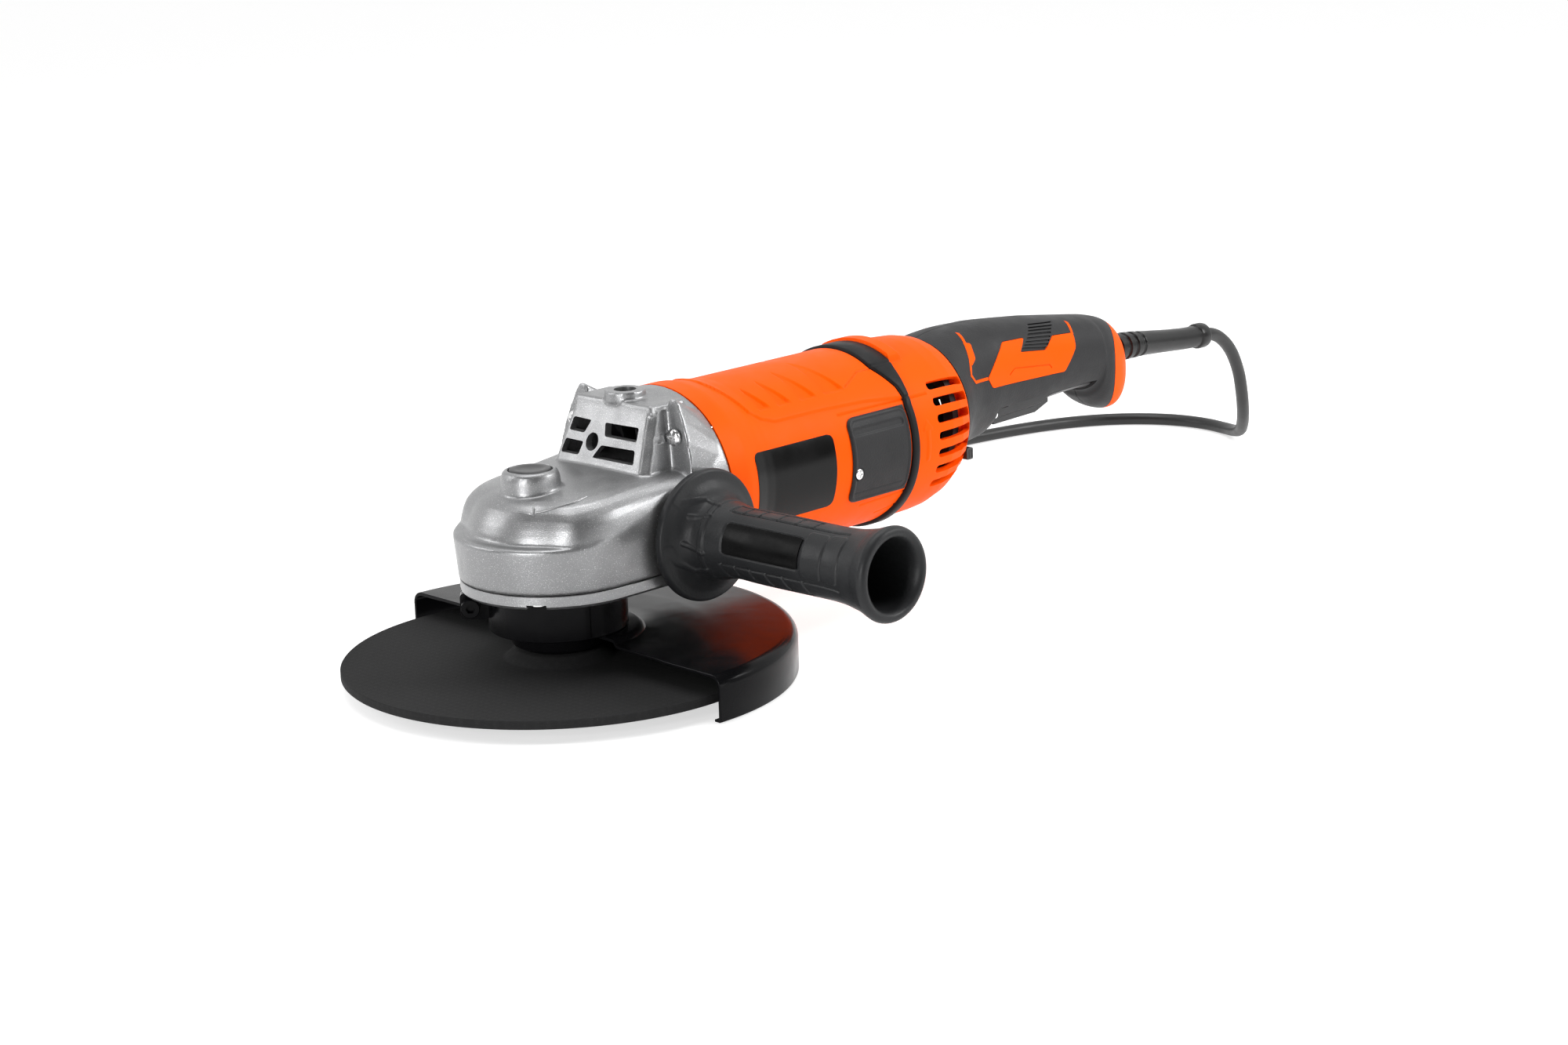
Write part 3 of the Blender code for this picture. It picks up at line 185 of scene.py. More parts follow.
class Nodes:
    """Adds nodes to a material and links them by socket name."""

    def __init__(self, name):
        self.material = bpy.data.materials.new(name)
        self.material.use_nodes = True
        self.tree = self.material.node_tree
        self.shader = self.tree.nodes["Principled BSDF"]
        place = self.tree.nodes.new("ShaderNodeTexCoord")
        self.place = place.outputs["Object"]

    def add(self, kind, inputs=None, **settings):
        node = self.tree.nodes.new("ShaderNode" + kind)
        for key, value in settings.items():
            setattr(node, key, value)
        for key, value in (inputs or {}).items():
            self.feed(node.inputs[key], value)
        return node

    def feed(self, socket, value):
        if isinstance(value, bpy.types.NodeSocket):
            self.tree.links.new(value, socket)
        else:
            socket.default_value = value

    def noise(self, scale, detail=2.0, roughness=0.5):
        facts = {"Vector": self.place, "Scale": scale, "Detail": detail, "Roughness": roughness}
        return self.add("TexNoise", facts).outputs["Fac"]

    def spread(self, value, low, high, start=0.3, end=0.7):
        """Map a noise's usual range, start to end, onto low to high."""
        facts = {"Value": value, "From Min": start, "From Max": end, "To Min": low, "To Max": high}
        return self.add("MapRange", facts).outputs["Result"]

    def mix(self, share, first, second):
        node = self.add("Mix", data_type="RGBA")
        for index, value in ((0, share), (6, first), (7, second)):
            self.feed(node.inputs[index], value)
        return node.outputs[2]

    def bump(self, height, depth, normal=None):
        facts = {"Height": height, "Distance": depth * MM, "Strength": 1.0}
        if normal is not None:
            facts["Normal"] = normal
        return self.add("Bump", facts).outputs["Normal"]


def rgba(colour, scale=1.0):
    return (*(min(c * scale, 1.0) for c in colour), 1.0)


def make_look(name, colour, roughness, metallic=0.0, grain=(1400, 0.03), mottle=0.06, spread=0.05,
              wear=0.0, flecks=None, specular=0.5):
    """A moulded, cast or machined finish.

    grain is the scale and depth in millimetres of its fine texture, mottle the share by which the
    colour wanders, spread the wander of its roughness, wear how far edges lighten, and flecks the
    scale, share and colour of its brighter grains.
    """
    n = Nodes(name)
    broad = n.noise(28, 3)
    shade = n.mix(n.spread(broad, 0, 1), rgba(colour, 1 - mottle), rgba(colour, 1 + mottle))
    if flecks:
        scale, share, fleck = flecks
        grains = n.spread(n.noise(scale, 1), 0, 1, 1 - share, 1 - share + 0.06)
        shade = n.mix(grains, shade, rgba(fleck))
    if wear:
        edge = n.add("NewGeometry").outputs["Pointiness"]
        rub = n.spread(n.noise(180, 4), 0.35, 1)
        worn = n.add("Math", {0: n.spread(edge, 0, wear, 0.52, 0.6), 1: rub}, operation="MULTIPLY")
        shade = n.mix(worn.outputs[0], shade, rgba([c * 1.8 + 0.05 for c in colour]))
    n.feed(n.shader.inputs["Base Color"], shade)
    streaks = n.noise(90, 4)
    low, high = max(roughness - spread, 0.03), min(roughness + spread, 1)
    n.feed(n.shader.inputs["Roughness"], n.spread(streaks, low, high))
    n.feed(n.shader.inputs["Normal"], n.bump(n.noise(grain[0], 2), grain[1]))
    n.shader.inputs["Metallic"].default_value = metallic
    n.shader.inputs["Specular IOR Level"].default_value = specular
    return n.material


def make_turned_look(name, colour, roughness):
    """Machined metal with fine lathe rings."""
    n = Nodes(name)
    rings = n.add("TexWave", {"Vector": n.place, "Scale": 900, "Distortion": 2.0, "Detail": 2.0},
                  wave_type="RINGS", rings_direction="SPHERICAL")
    broad = n.noise(60, 3)
    shade = n.mix(n.spread(broad, 0, 1), rgba(colour, 0.88), rgba(colour, 1.08))
    n.feed(n.shader.inputs["Base Color"], shade)
    n.feed(n.shader.inputs["Roughness"], n.spread(broad, roughness - 0.06, roughness + 0.08))
    n.feed(n.shader.inputs["Normal"], n.bump(rings.outputs["Fac"], 0.012))
    n.shader.inputs["Metallic"].default_value = 1.0
    return n.material


def make_abrasive_look():
    """Bonded grit with a faint woven reinforcement."""
    n = Nodes("abrasive")
    weave = []
    for direction in ("X", "Y"):
        wave = n.add("TexWave", {"Vector": n.place, "Scale": 75, "Distortion": 0.6},
                     wave_type="BANDS", bands_direction=direction)
        weave.append(wave.outputs["Fac"])
    cloth = n.add("Math", {0: weave[0], 1: weave[1]}, operation="MULTIPLY").outputs[0]
    grit = n.noise(1300, 3, 0.7)
    broad = n.spread(n.noise(14, 4), 0, 1)
    dark = n.mix(broad, rgba((0.0120, 0.0120, 0.0123)), rgba((0.0150, 0.0150, 0.0153)))
    shade = n.mix(n.spread(cloth, 0, 0.10, 0.0, 1.0), dark, rgba((0.04, 0.04, 0.04)))
    shade = n.mix(n.spread(grit, 0, 0.5, 0.62, 0.74), shade, rgba((0.07, 0.07, 0.07)))
    n.feed(n.shader.inputs["Base Color"], shade)
    n.feed(n.shader.inputs["Roughness"], n.spread(grit, 0.82, 0.97))
    fine = n.bump(grit, 0.10)
    n.feed(n.shader.inputs["Normal"], n.bump(cloth, 0.03, fine))
    n.shader.inputs["Specular IOR Level"].default_value = 0.2
    return n.material


def make_floor_look():
    """A pale acrylic table, faintly lit from below as studios do."""
    floor = make_look("floor", (0.55, 0.55, 0.55), 0.9, 0, (40, 0.05), 0.01)
    shader = floor.node_tree.nodes["Principled BSDF"]
    shader.inputs["Emission Color"].default_value = (1, 1, 1, 1)
    shader.inputs["Emission Strength"].default_value = 0.62
    return floor


# name: colour, roughness, and what differs from make_look's plain finish
CAST_AND_MOULDED = {
    "cast_aluminium": ((0.25, 0.252, 0.256), 0.36, {
        "metallic": 0.8, "grain": (1700, 0.10), "mottle": 0.05, "spread": 0.06, "wear": 0.25,
        "flecks": (2300, 0.36, (0.52, 0.52, 0.52))}),
    "copper": ((0.72, 0.30, 0.14), 0.32, {"metallic": 1.0, "grain": (900, 0.02), "mottle": 0.12}),
    "orange_plastic": ((1.0, 0.09, 0.0), 0.46, {
        "grain": (1500, 0.035), "mottle": 0.03, "spread": 0.05, "specular": 0.05}),
    "dark_plastic": ((0.017, 0.017, 0.018), 0.50, {
        "grain": (900, 0.13), "mottle": 0.10, "spread": 0.06, "wear": 0.08, "specular": 0.22}),
    "black_plastic": ((0.016, 0.016, 0.017), 0.38, {"grain": (900, 0.02), "mottle": 0.15}),
    "gloss_panel": ((0.004, 0.004, 0.004), 0.3, {
        "grain": (500, 0.01), "mottle": 0.4, "spread": 0.10, "specular": 0.05}),
    "rubber": ((0.009, 0.009, 0.0095), 0.50, {
        "grain": (1100, 0.05), "mottle": 0.16, "spread": 0.08, "specular": 0.14}),
    "grip_rubber": ((0.014, 0.0145, 0.0155), 0.44, {
        "grain": (900, 0.08), "mottle": 0.12, "spread": 0.07, "wear": 0.06, "specular": 0.22}),
    "boot_rubber": ((0.005, 0.005, 0.005), 0.32, {
        "grain": (700, 0.02), "mottle": 0.15, "spread": 0.07, "specular": 0.35}),
    "cord": ((0.008, 0.008, 0.008), 0.42, {"grain": (500, 0.03), "mottle": 0.15}),
    "black_steel": ((0.004, 0.004, 0.0045), 0.2, {
        "grain": (160, 0.008), "mottle": 0.15, "spread": 0.05, "specular": 0.07}),
    "label": ((0.003, 0.003, 0.003), 0.2, {
        "grain": (300, 0.004), "mottle": 0.3, "spread": 0.04, "specular": 0.16}),
    "carbon": ((0.03, 0.03, 0.032), 0.6, {"grain": (1500, 0.03), "mottle": 0.2}),
}
TURNED = {
    "steel": ((0.56, 0.56, 0.57), 0.24),
    "bright_steel": ((0.80, 0.80, 0.80), 0.16),
    "brass": ((0.78, 0.57, 0.24), 0.24),
}


def make_looks():
    looks = {name: make_turned_look(name, *facts) for name, facts in TURNED.items()}
    for name, (colour, roughness, rest) in CAST_AND_MOULDED.items():
        looks[name] = make_look(name, colour, roughness, **rest)
    looks["abrasive"] = make_abrasive_look()
    looks["floor"] = make_floor_look()
    return looks


def dress(thing, look):
    thing.data.materials.clear()
    thing.data.materials.append(look)


# ---------------------------------------------------------------- mesh tools


def ease(t):
    t = min(max(t, 0.0), 1.0)
    return t * t * (3 - 2 * t)


def raw(name, points, faces):
    """A mesh object from points in millimetres, its doubled points merged and its faces turned out."""
    mesh = bpy.data.meshes.new(name)
    shape = bmesh.new()
    corners = [shape.verts.new(Vector(p) * MM) for p in points]
    for face in faces:
        shape.faces.new([corners[i] for i in face])
    bmesh.ops.remove_doubles(shape, verts=shape.verts, dist=1e-6)
    bmesh.ops.dissolve_degenerate(shape, edges=shape.edges, dist=1e-6)
    loose = [edge for edge in shape.edges if not edge.link_faces]
    bmesh.ops.delete(shape, geom=loose, context="EDGES")
    bmesh.ops.recalc_face_normals(shape, faces=shape.faces)
    shape.to_mesh(mesh)
    shape.free()
    thing = bpy.data.objects.new(name, mesh)
    bpy.context.scene.collection.objects.link(thing)
    return thing


def place(axis, r, angle, h, centre=(0, 0, 0)):
    """A point at radius r, angle in degrees and height h along an axis through centre.

    The angle runs from +X towards +Y about Z, from -Y towards +Z about X, and from +X to +Z about Y.
    """
    a = math.radians(angle)
    across, up = r * math.cos(a), r * math.sin(a)
    local = {"Z": (across, up, h), "X": (h, -across, up), "Y": (across, h, up)}[axis]
    return tuple(c + d for c, d in zip(centre, local))


def circle(axis, radius, h, centre, steps):
    return [place(axis, radius, 360 * j / steps, h, centre) for j in range(steps)]


def ring_faces(count, around, closed_around=True, closed_along=False):
    faces = []
    for i in range(count if closed_along else count - 1):
        for j in range(around if closed_around else around - 1):
            a, d = i * around, (i + 1) % count * around
            k = (j + 1) % around
            faces.append((a + j, a + k, d + k, d + j))
    return faces


def loft(name, rings, closed=False):
    """Join rings of equal point count; the ends are capped unless the rings close on themselves."""
    around = len(rings[0])
    faces = ring_faces(len(rings), around, True, closed)
    if not closed:
        faces.append(tuple(range(around)))
        faces.append(tuple(reversed(range((len(rings) - 1) * around, len(rings) * around))))
    return raw(name, [p for ring in rings for p in ring], faces)


def turned(name, axis, centre, profile, steps=120, start=0.0, end=360.0):
    """Turn a closed (radius, height) outline about an axis, all the way round or over a sector."""
    whole = end - start >= 360.0
    around = steps if whole else steps + 1
    points = []
    for r, h in profile:
        points += [place(axis, r, start + (end - start) * j / steps, h, centre) for j in range(around)]
    faces = ring_faces(len(profile), around, whole, True)
    if not whole:
        faces.append(tuple(i * around for i in range(len(profile))))
        faces.append(tuple(i * around + around - 1 for i in reversed(range(len(profile)))))
    return raw(name, points, faces)


def tube(name, axis, centre, inner, outer, low, high, steps=120, start=0.0, end=360.0):
    outline = ((inner, low), (outer, low), (outer, high), (inner, high))
    return turned(name, axis, centre, outline, steps, start, end)


def rod(name, axis, centre, radius, low, high, steps=48):
    return turned(name, axis, centre, ((0, low), (radius, low), (radius, high), (0, high)), steps)


def prism(name, outline, low, high, axis="Z"):
    """Extrude a flat outline along an axis; the outline's pairs are the other two axes in order."""
    order = {"X": (2, 0, 1), "Y": (0, 2, 1), "Z": (0, 1, 2)}[axis]
    rings = []
    for h in (low, high):
        rings.append([tuple((u, v, h)[i] for i in order) for u, v in outline])
    return loft(name, rings)


def block(name, low, high):
    return prism(name, box_outline(low[0], high[0], low[1], high[1]), low[2], high[2])


def box_outline(u0, u1, v0, v1):
    return ((u0, v0), (u1, v0), (u1, v1), (u0, v1))


def rounded(outline, radius, steps=5):
    """The outline with its corners rounded off by curves that start radius from each corner."""
    found = []
    count = len(outline)
    for i, corner in enumerate(outline):
        corner = Vector(corner)
        ends = []
        for other in (outline[i - 1], outline[(i + 1) % count]):
            side = Vector(other) - corner
            ends.append(corner + side.normalized() * min(radius, side.length * 0.49))
        for j in range(steps + 1):
            t = j / steps
            found.append(tuple(ends[0] * (1 - t) ** 2 + corner * 2 * t * (1 - t) + ends[1] * t * t))
    return found


def arc(cx, cy, radius, start, end, steps):
    found = []
    for j in range(steps + 1):
        a = math.radians(start + (end - start) * j / steps)
        found.append((cx + radius * math.cos(a), cy + radius * math.sin(a)))
    return found


def through(points, per_span=8):
    """A smooth run of points through the given ones."""
    spots = [Vector(p) for p in points]
    spots = [spots[0] * 2 - spots[1]] + spots + [spots[-1] * 2 - spots[-2]]
    fine = []
    for a, b, c, d in zip(spots, spots[1:], spots[2:], spots[3:]):
        for j in range(per_span):
            t = j / per_span
            bend = (2 * a - 5 * b + 4 * c - d) * t * t + (3 * b - a - 3 * c + d) * t ** 3
            fine.append(tuple(0.5 * (2 * b + (c - a) * t + bend)))
    fine.append(tuple(spots[-2]))
    return fine


def between(table, x):
    """Read a table of (x, value) pairs at x, in straight lines between its rows."""
    if x <= table[0][0]:
        return table[0][1]
    for (x0, y0), (x1, y1) in zip(table, table[1:]):
        if x <= x1:
            return y0 + (y1 - y0) * (x - x0) / (x1 - x0)
    return table[-1][1]


def boolean(target, operation, *tools):
    """Apply Booleans to a piece in place, and remove the tools."""
    for tool in tools:
        change = target.modifiers.new("boolean", "BOOLEAN")
        change.operation = operation
        change.solver = "EXACT"
        change.object = tool
        graph = bpy.context.evaluated_depsgraph_get()
        result = bpy.data.meshes.new_from_object(target.evaluated_get(graph))
        target.modifiers.remove(change)
        target.data = result
        bpy.data.objects.remove(tool, do_unlink=True)
    return target


def cut(target, *tools):
    return boolean(target, "DIFFERENCE", *tools)


def join(target, *tools):
    return boolean(target, "UNION", *tools)


def keep(target, *tools):
    return boolean(target, "INTERSECT", *tools)


def gather(*things):
    """Put several things' faces in the first one's mesh, without a Boolean."""
    shape = bmesh.new()
    for thing in things:
        shape.from_mesh(thing.data)
    shape.to_mesh(things[0].data)
    shape.free()
    for thing in things[1:]:
        bpy.data.objects.remove(thing, do_unlink=True)
    return things[0]


def apply_modifiers(thing):
    graph = bpy.context.evaluated_depsgraph_get()
    result = bpy.data.meshes.new_from_object(thing.evaluated_get(graph))
    thing.modifiers.clear()
    thing.data = result
    return thing


def remeshed(thing, voxel, rounds):
    """Melt overlapping solids into one skin, and soften its corners as a casting's are."""
    melt = thing.modifiers.new("melt", "REMESH")
    melt.mode = "VOXEL"
    melt.voxel_size = voxel * MM
    soft = thing.modifiers.new("soft", "SMOOTH")
    soft.factor = 0.5
    soft.iterations = rounds
    return apply_modifiers(thing)


def bevel(thing, width, segments=2, angle=32):
    edge = thing.modifiers.new("bevel", "BEVEL")
    edge.width = width * MM
    edge.segments = segments
    edge.limit_method = "ANGLE"
    edge.angle_limit = math.radians(angle)
    return thing


def show(thing, body, slot, *nodes, look=None, sharp=38):
    """Finish a piece: shade it, colour it, fix it to its body and hide the CAD nodes it stands for.

    Its look is the one named like its material slot, unless look names another.
    """
    if thing.type == "MESH":
        thing.data.shade_smooth()
        thing.data.set_sharp_from_angle(angle=math.radians(sharp))
    dress(thing, LOOKS[look or slot])
    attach(thing, body)
    if nodes:
        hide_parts(*nodes)
    return thing


def turn_about_z(thing, degrees):
    thing.data.transform(Matrix.Rotation(math.radians(degrees), 4, "Z"))
    return thing


def wire(name, points, radius, look):
    """A round wire along points in millimetres, with closed ends."""
    line = bpy.data.curves.new(name, "CURVE")
    line.dimensions = "3D"
    line.bevel_depth = radius * MM
    line.bevel_resolution = 5
    line.use_fill_caps = True
    spline = line.splines.new("POLY")
    spline.points.add(len(points) - 1)
    for point, spot in zip(spline.points, points):
        point.co = (*(c * MM for c in spot), 1.0)
    thing = bpy.data.objects.new(name, line)
    bpy.context.scene.collection.objects.link(thing)
    dress(thing, LOOKS[look])
    return thing


def segment_distance(u, v, line):
    """Distance from (u, v) to the nearest stretch of a polyline."""
    best = 1e9
    for (u0, v0), (u1, v1) in zip(line, line[1:]):
        du, dv = u1 - u0, v1 - v0
        t = min(max(((u - u0) * du + (v - v0) * dv) / (du * du + dv * dv), 0.0), 1.0)
        best = min(best, math.hypot(u - u0 - du * t, v - v0 - dv * t))
    return best


def box_distance(u, v, u0, u1, v0, v1, corner):
    """Signed distance from (u, v) to a rectangle with rounded corners; negative inside."""
    du = abs(u - (u0 + u1) / 2) - (u1 - u0) / 2 + corner
    dv = abs(v - (v0 + v1) / 2) - (v1 - v0) / 2 + corner
    return math.hypot(max(du, 0), max(dv, 0)) + min(max(du, dv), 0) - corner


def cross_screw(name, axis, centre, radius, face, seat, shank, tip):
    """A cross-recess screw whose head runs from face to seat along the axis."""
    deep = seat - face
    outline = [(0, face), (radius * 0.5, face + deep * 0.05), (radius * 0.82, face + deep * 0.25)]
    outline += [(radius, face + deep * 0.6), (radius, seat), (shank, seat), (shank, tip), (0, tip)]
    screw = turned(name, axis, centre, outline, 40)
    arm, half = radius * 0.62, radius * 0.13
    plus = ((half, half), (half, arm), (-half, arm), (-half, half), (-arm, half), (-arm, -half),
            (-half, -half), (-half, -arm), (half, -arm), (half, -half), (arm, -half), (arm, half))
    spots = {"X": (1, 2), "Y": (0, 2), "Z": (0, 1)}[axis]
    outline = [(u + centre[spots[0]], v + centre[spots[1]]) for u, v in plus]
    low, high = sorted((face - deep, face + deep * 0.75))
    return cut(screw, prism("recess", outline, low, high, axis))


# ---------------------------------------------------------------- spindle and wheel


def make_wheel():
    rise = 5.5
    low, face, top = WHEEL_LOW, HUB_TOP - rise, HUB_TOP
    outline = (
        (11.4, low + rise), (22.6, low + rise), (24.6, low + rise - 0.6), (28.4, low + 0.6), (30.4, low),
        (WHEEL_RADIUS - 0.5, low), (WHEEL_RADIUS, low + 0.5), (WHEEL_RADIUS, face - 0.5),
        (WHEEL_RADIUS - 0.5, face), (30.6, face), (28.6, face + 0.6), (24.4, top - 0.6), (22.4, top),
        (11.4, top),
    )
    wheel = turned("wheel_disc", "Z", (0, 0, 0), outline, 240)
    show(wheel, "spindle", "abrasive", "grinding_wheel")
    ring = tube("wheel_bushing", "Z", (0, 0, 0), 11.2, 16.5, top - 0.15, top + 0.25, 96)
    show(ring, "spindle", "steel")


def make_flange_and_nut():
    seat = HUB_TOP + 0.3
    outline = (
        (7.3, seat), (20, seat), (24.4, seat + 2.2), (25, seat + 3), (25, seat + 7.4), (24.4, seat + 8),
        (22.4, 25.6), (21.6, 26), (7.3, 26),
    )
    flange = turned("clamp_flange", "Z", (0, 0, 0), outline, 120)
    show(flange, "spindle", "black_steel", "inner_flange")
    top = WHEEL_LOW + 5.2
    outline = (
        (7.3, 3.6), (7.9, 3.4), (15.6, 3.4), (16.4, 3.7), (19.1, 4.8), (19.5, 5.4), (19.5, top), (7.3, top),
    )
    nut = turned("pin_locknut", "Z", (0, 0, 0), outline, 120)
    holes = [rod("hole", "Z", place("Z", 13.5, a, 0), 2.2, 2, 7, 28) for a in (45, 135, 225, 315)]
    cut(nut, gather(*holes))
    show(nut, "spindle", "black_steel", "locknut")


def make_spindle():
    """The spindle, with its thread cut as a helical groove on the end that shows."""
    outline = [(0, 0), (5.9, 0), (6.9, 1.0), (7, 1.2), (7, 26.2), (10.6, 26.2), (11, 26.6), (11, 52)]
    outline += [(8.5, 52), (8.5, 66), (8, 66), (8, 80), (5, 80), (5, 96.6), (4.6, 97), (0, 97)]
    spindle = turned("threaded_spindle", "Z", (0, 0, 0), outline, 72)
    pitch, turns, around = 2.0, 7, 36
    rings = []
    for j in range(turns * around + 1):
        angle, rise = 360 * j / around, 1.2 + pitch * j / around
        shape = ((8.0, rise - 0.95), (8.0, rise + 0.95), (6.1, rise))
        rings.append([place("Z", r, angle, h) for r, h in shape])
    cut(spindle, loft("thread", rings))
    show(spindle, "spindle", "steel", "spindle", look="bright_steel")


# ---------------------------------------------------------------- gear head


HEAD_RINGS = (  # front and side half widths, height, and its rise per mm behind x = -20
    (50.5, 50.5, SKIRT_BOTTOM, 0), (52.5, 52.5, 78.0, 0), (52.2, 52.5, 79.0, 0.1), (51.2, 52.4, 79.8, 0.2),
    (45.6, 52.0, 80.2, 0.28), (44.8, 51.2, 84, 0.24), (43.0, 50.0, 88.5, 0.19), (40.8, 48.0, 92.8, 0.14),
    (38.4, 45.2, 96.0, 0.11), (35.0, 41.6, 98.8, 0.08), (30.4, 36, 100.6, 0.06), (25, 29, 101.7, 0.05),
    (17, 19, 102.4, 0.04), (8, 8.5, 102.8, 0.035),
)


def plan_ring(front, side, z, slope=0.0, rear=64.0):
    """The head's outline from above: a narrower nose that widens round the spindle to straight sides."""
    ring = []
    for i in range(24):
        x = rear * (1 - i / 24)
        ring.append((x, side - 1.6 * ease((x - 46) / 18)))
    for j in range(97):
        angle = 90 + 180 * j / 96
        radius = front + (side - front) * ease((abs(angle - 180) - 36) / 30)
        ring.append((radius * math.cos(math.radians(angle)), radius * math.sin(math.radians(angle))))
    ring += [(x, -y) for x, y in reversed(ring[:24])]
    return [(x, y, z + slope * max(x + 20, 0)) for x, y in ring]


def box_corners(x0, x1, half):
    return ((x0, -half), (x1, -half), (x1, half), (x0, half))


def ear(side):
    """A fin that carries a long screw; its outer edge runs down to the shoulder, its back to the flange."""
    outline = ((30.5, 88), (30.5, 137), (31.5, 140.6), (33.5, 142), (36.4, 142), (38.2, 140.4), (42.8, 131),
               (46.8, 121), (49.8, 111), (51.2, 103), (51.8, 92))
    front = [(52 + 3.6 * (z - 104) / 38, side * y, z) for y, z in outline]
    back = []
    for _, y, z in front:
        flange = MOTOR_Z + math.sqrt(FLANGE_RADIUS ** 2 - y * y)
        back.append((HEAD_REAR - 0.4, y * 0.985, min(z - 0.8, flange)))
    return loft("ear", [front, back])


def head_shell():
    """The head's cast outside, as overlapping solids for melting into one skin."""
    body = loft("head", [plan_ring(*ring) for ring in HEAD_RINGS])
    flange = turned("flange", "X", MOTOR,
                    ((0, 56), (50.6, 56), (53.0, 60), (54, 70), (54, HEAD_REAR), (0, HEAD_REAR)), 180)
    low = [(29, -33), (33, -37), (66, -37), (66, 37), (33, 37), (29, 33)]
    high = [(45, -27), (49, -30.5), (66, -30.5), (66, 30.5), (49, 30.5), (45, 27)]
    turret = loft("turret", [[(x, y, 97) for x, y in low], [(x, y, 136) for x, y in high]])
    crown = loft("crown", [[(x, y, 134) for x, y in box_corners(44.2, 70, 30.5)],
                           [(x, y, 138.4) for x, y in box_corners(45.6, 70, 28)]])
    parts = [body, flange, turret, crown]
    for side in (-1, 1):
        parts.append(ear(side))
        parts.append(rod("lower_lug", "X", (0, side * EAR_Y, LUG_Z), 6.5, 53.5, 70))
        boss = ((0, 40 * side), (15.6, 40 * side), (13.8, 53.6 * side), (13.4, 54 * side), (0, 54 * side))
        parts.append(turned("side_boss", "Y", (SIDE_X, 0, SIDE_Z), boss, 96))
    parts.append(rod("top_boss", "Z", (SIDE_X, 0, 0), 10.9, 137.2, HEAD_TOP, 72))
    lock = ((0, 90), (16.6, 90), (15.4, 108.6), (14.6, 111.4), (13.2, 112.8), (0, 112.8))
    parts.append(turned("lock_boss", "Z", (LOCK_X, 0, 0), lock, 96))
    return remeshed(gather(*parts), 0.85, 5)


def head_hollows():
    """What is cut out of the head once its outside is melted: chambers, holes and sockets."""
    chamber = turned("chamber", "Z", (0, 0, 0), ((0, 50), (37, 50), (37, 84), (25, 90), (0, 90)), 96)
    duct = loft("duct", [[(x, y, 107) for x, y in ((37, -31), (70, -31), (70, 31), (37, 31))],
                         [(x, y, 131) for x, y in ((48, -25), (70, -25), (70, 25), (48, 25))]])
    join(
        chamber,
        rod("fan_chamber", "X", MOTOR, 47, 62, 90, 96), duct,
        rod("pinion_space", "X", MOTOR, 10, 12, 47), rod("bearing_pocket", "X", MOTOR, 16.5, 45, 66),
        rod("bush_hole", "Z", (0, 0, 0), 8.5, 85, 98.3),
    )
    return chamber


def outlet_cutters():
    """Slots in the turret's sloping face as (y, z) outlines, and the round hole between them."""
    slots = (
        ((27.5, 120.2), (26.4, 127.2), (12.6, 126.8), (15.8, 120)),
        ((28.6, 116), (14.8, 115.8), (16.4, 108.8), (30, 108.8)),
        ((2, 126.8), (-23.6, 127.2), (-24.2, 120), (0, 120)),
        ((1, 115.6), (-24.6, 116), (-26, 108.8), (5.6, 108.8)),
    )
    tools = [prism("slot", rounded(slot, 1.4), 20, 53, "X") for slot in slots]
    return gather(*tools, rod("slot_hole", "X", (0, 8.4, 116.4), 4.6, 20, 53, 40))


def socket_cutters():
    """Threaded sockets, screw recesses and the spindle lock's pocket, none of which meet."""
    tools = [
        rod("top_hole", "Z", (SIDE_X, 0, 0), 6, 133.5, 150, 48),
        turned("lock_pocket", "Z", (LOCK_X, 0, 0),
               ((0, 105), (11.6, 105), (11.6, 112), (12.4, 113.6), (0, 113.6)), 72),
    ]
    for side in (-1, 1):
        tools.append(rod("side_socket", "Y", (SIDE_X, 0, SIDE_Z), 7.3, *sorted((side * 40, side * 60)), 48))
        tools.append(rod("upper_recess", "X", (0, side * EAR_Y, EAR_Z), 5.6, 42, 53.2, 40))
        tools.append(rod("lower_recess", "X", (0, side * EAR_Y, LUG_Z), 5.4, 42, 53.2, 40))
    return gather(*tools)


def pin_cutters():
    centre = (LOCK_X, 0, 0)
    pin_hole = rod("pin_hole", "Z", centre, 3.5, 80, 101, 24)
    return join(pin_hole, rod("spring_hole", "Z", centre, 6, 99.6, 106, 32))


def make_head():
    head = head_shell()
    cut(head, head_hollows(), outlet_cutters(), socket_cutters(), pin_cutters())
    for y, z in ((y, z) for y in (-EAR_Y, EAR_Y) for z in (EAR_Z, LUG_Z)):
        cut(head, rod("screw_hole", "X", (0, y, z), 1.8, 50, 90, 24))
    show(head, "housing", "cast_aluminium", "gear_case", sharp=45)
    bpy.context.view_layer.update()
    make_direction_arrow(head)


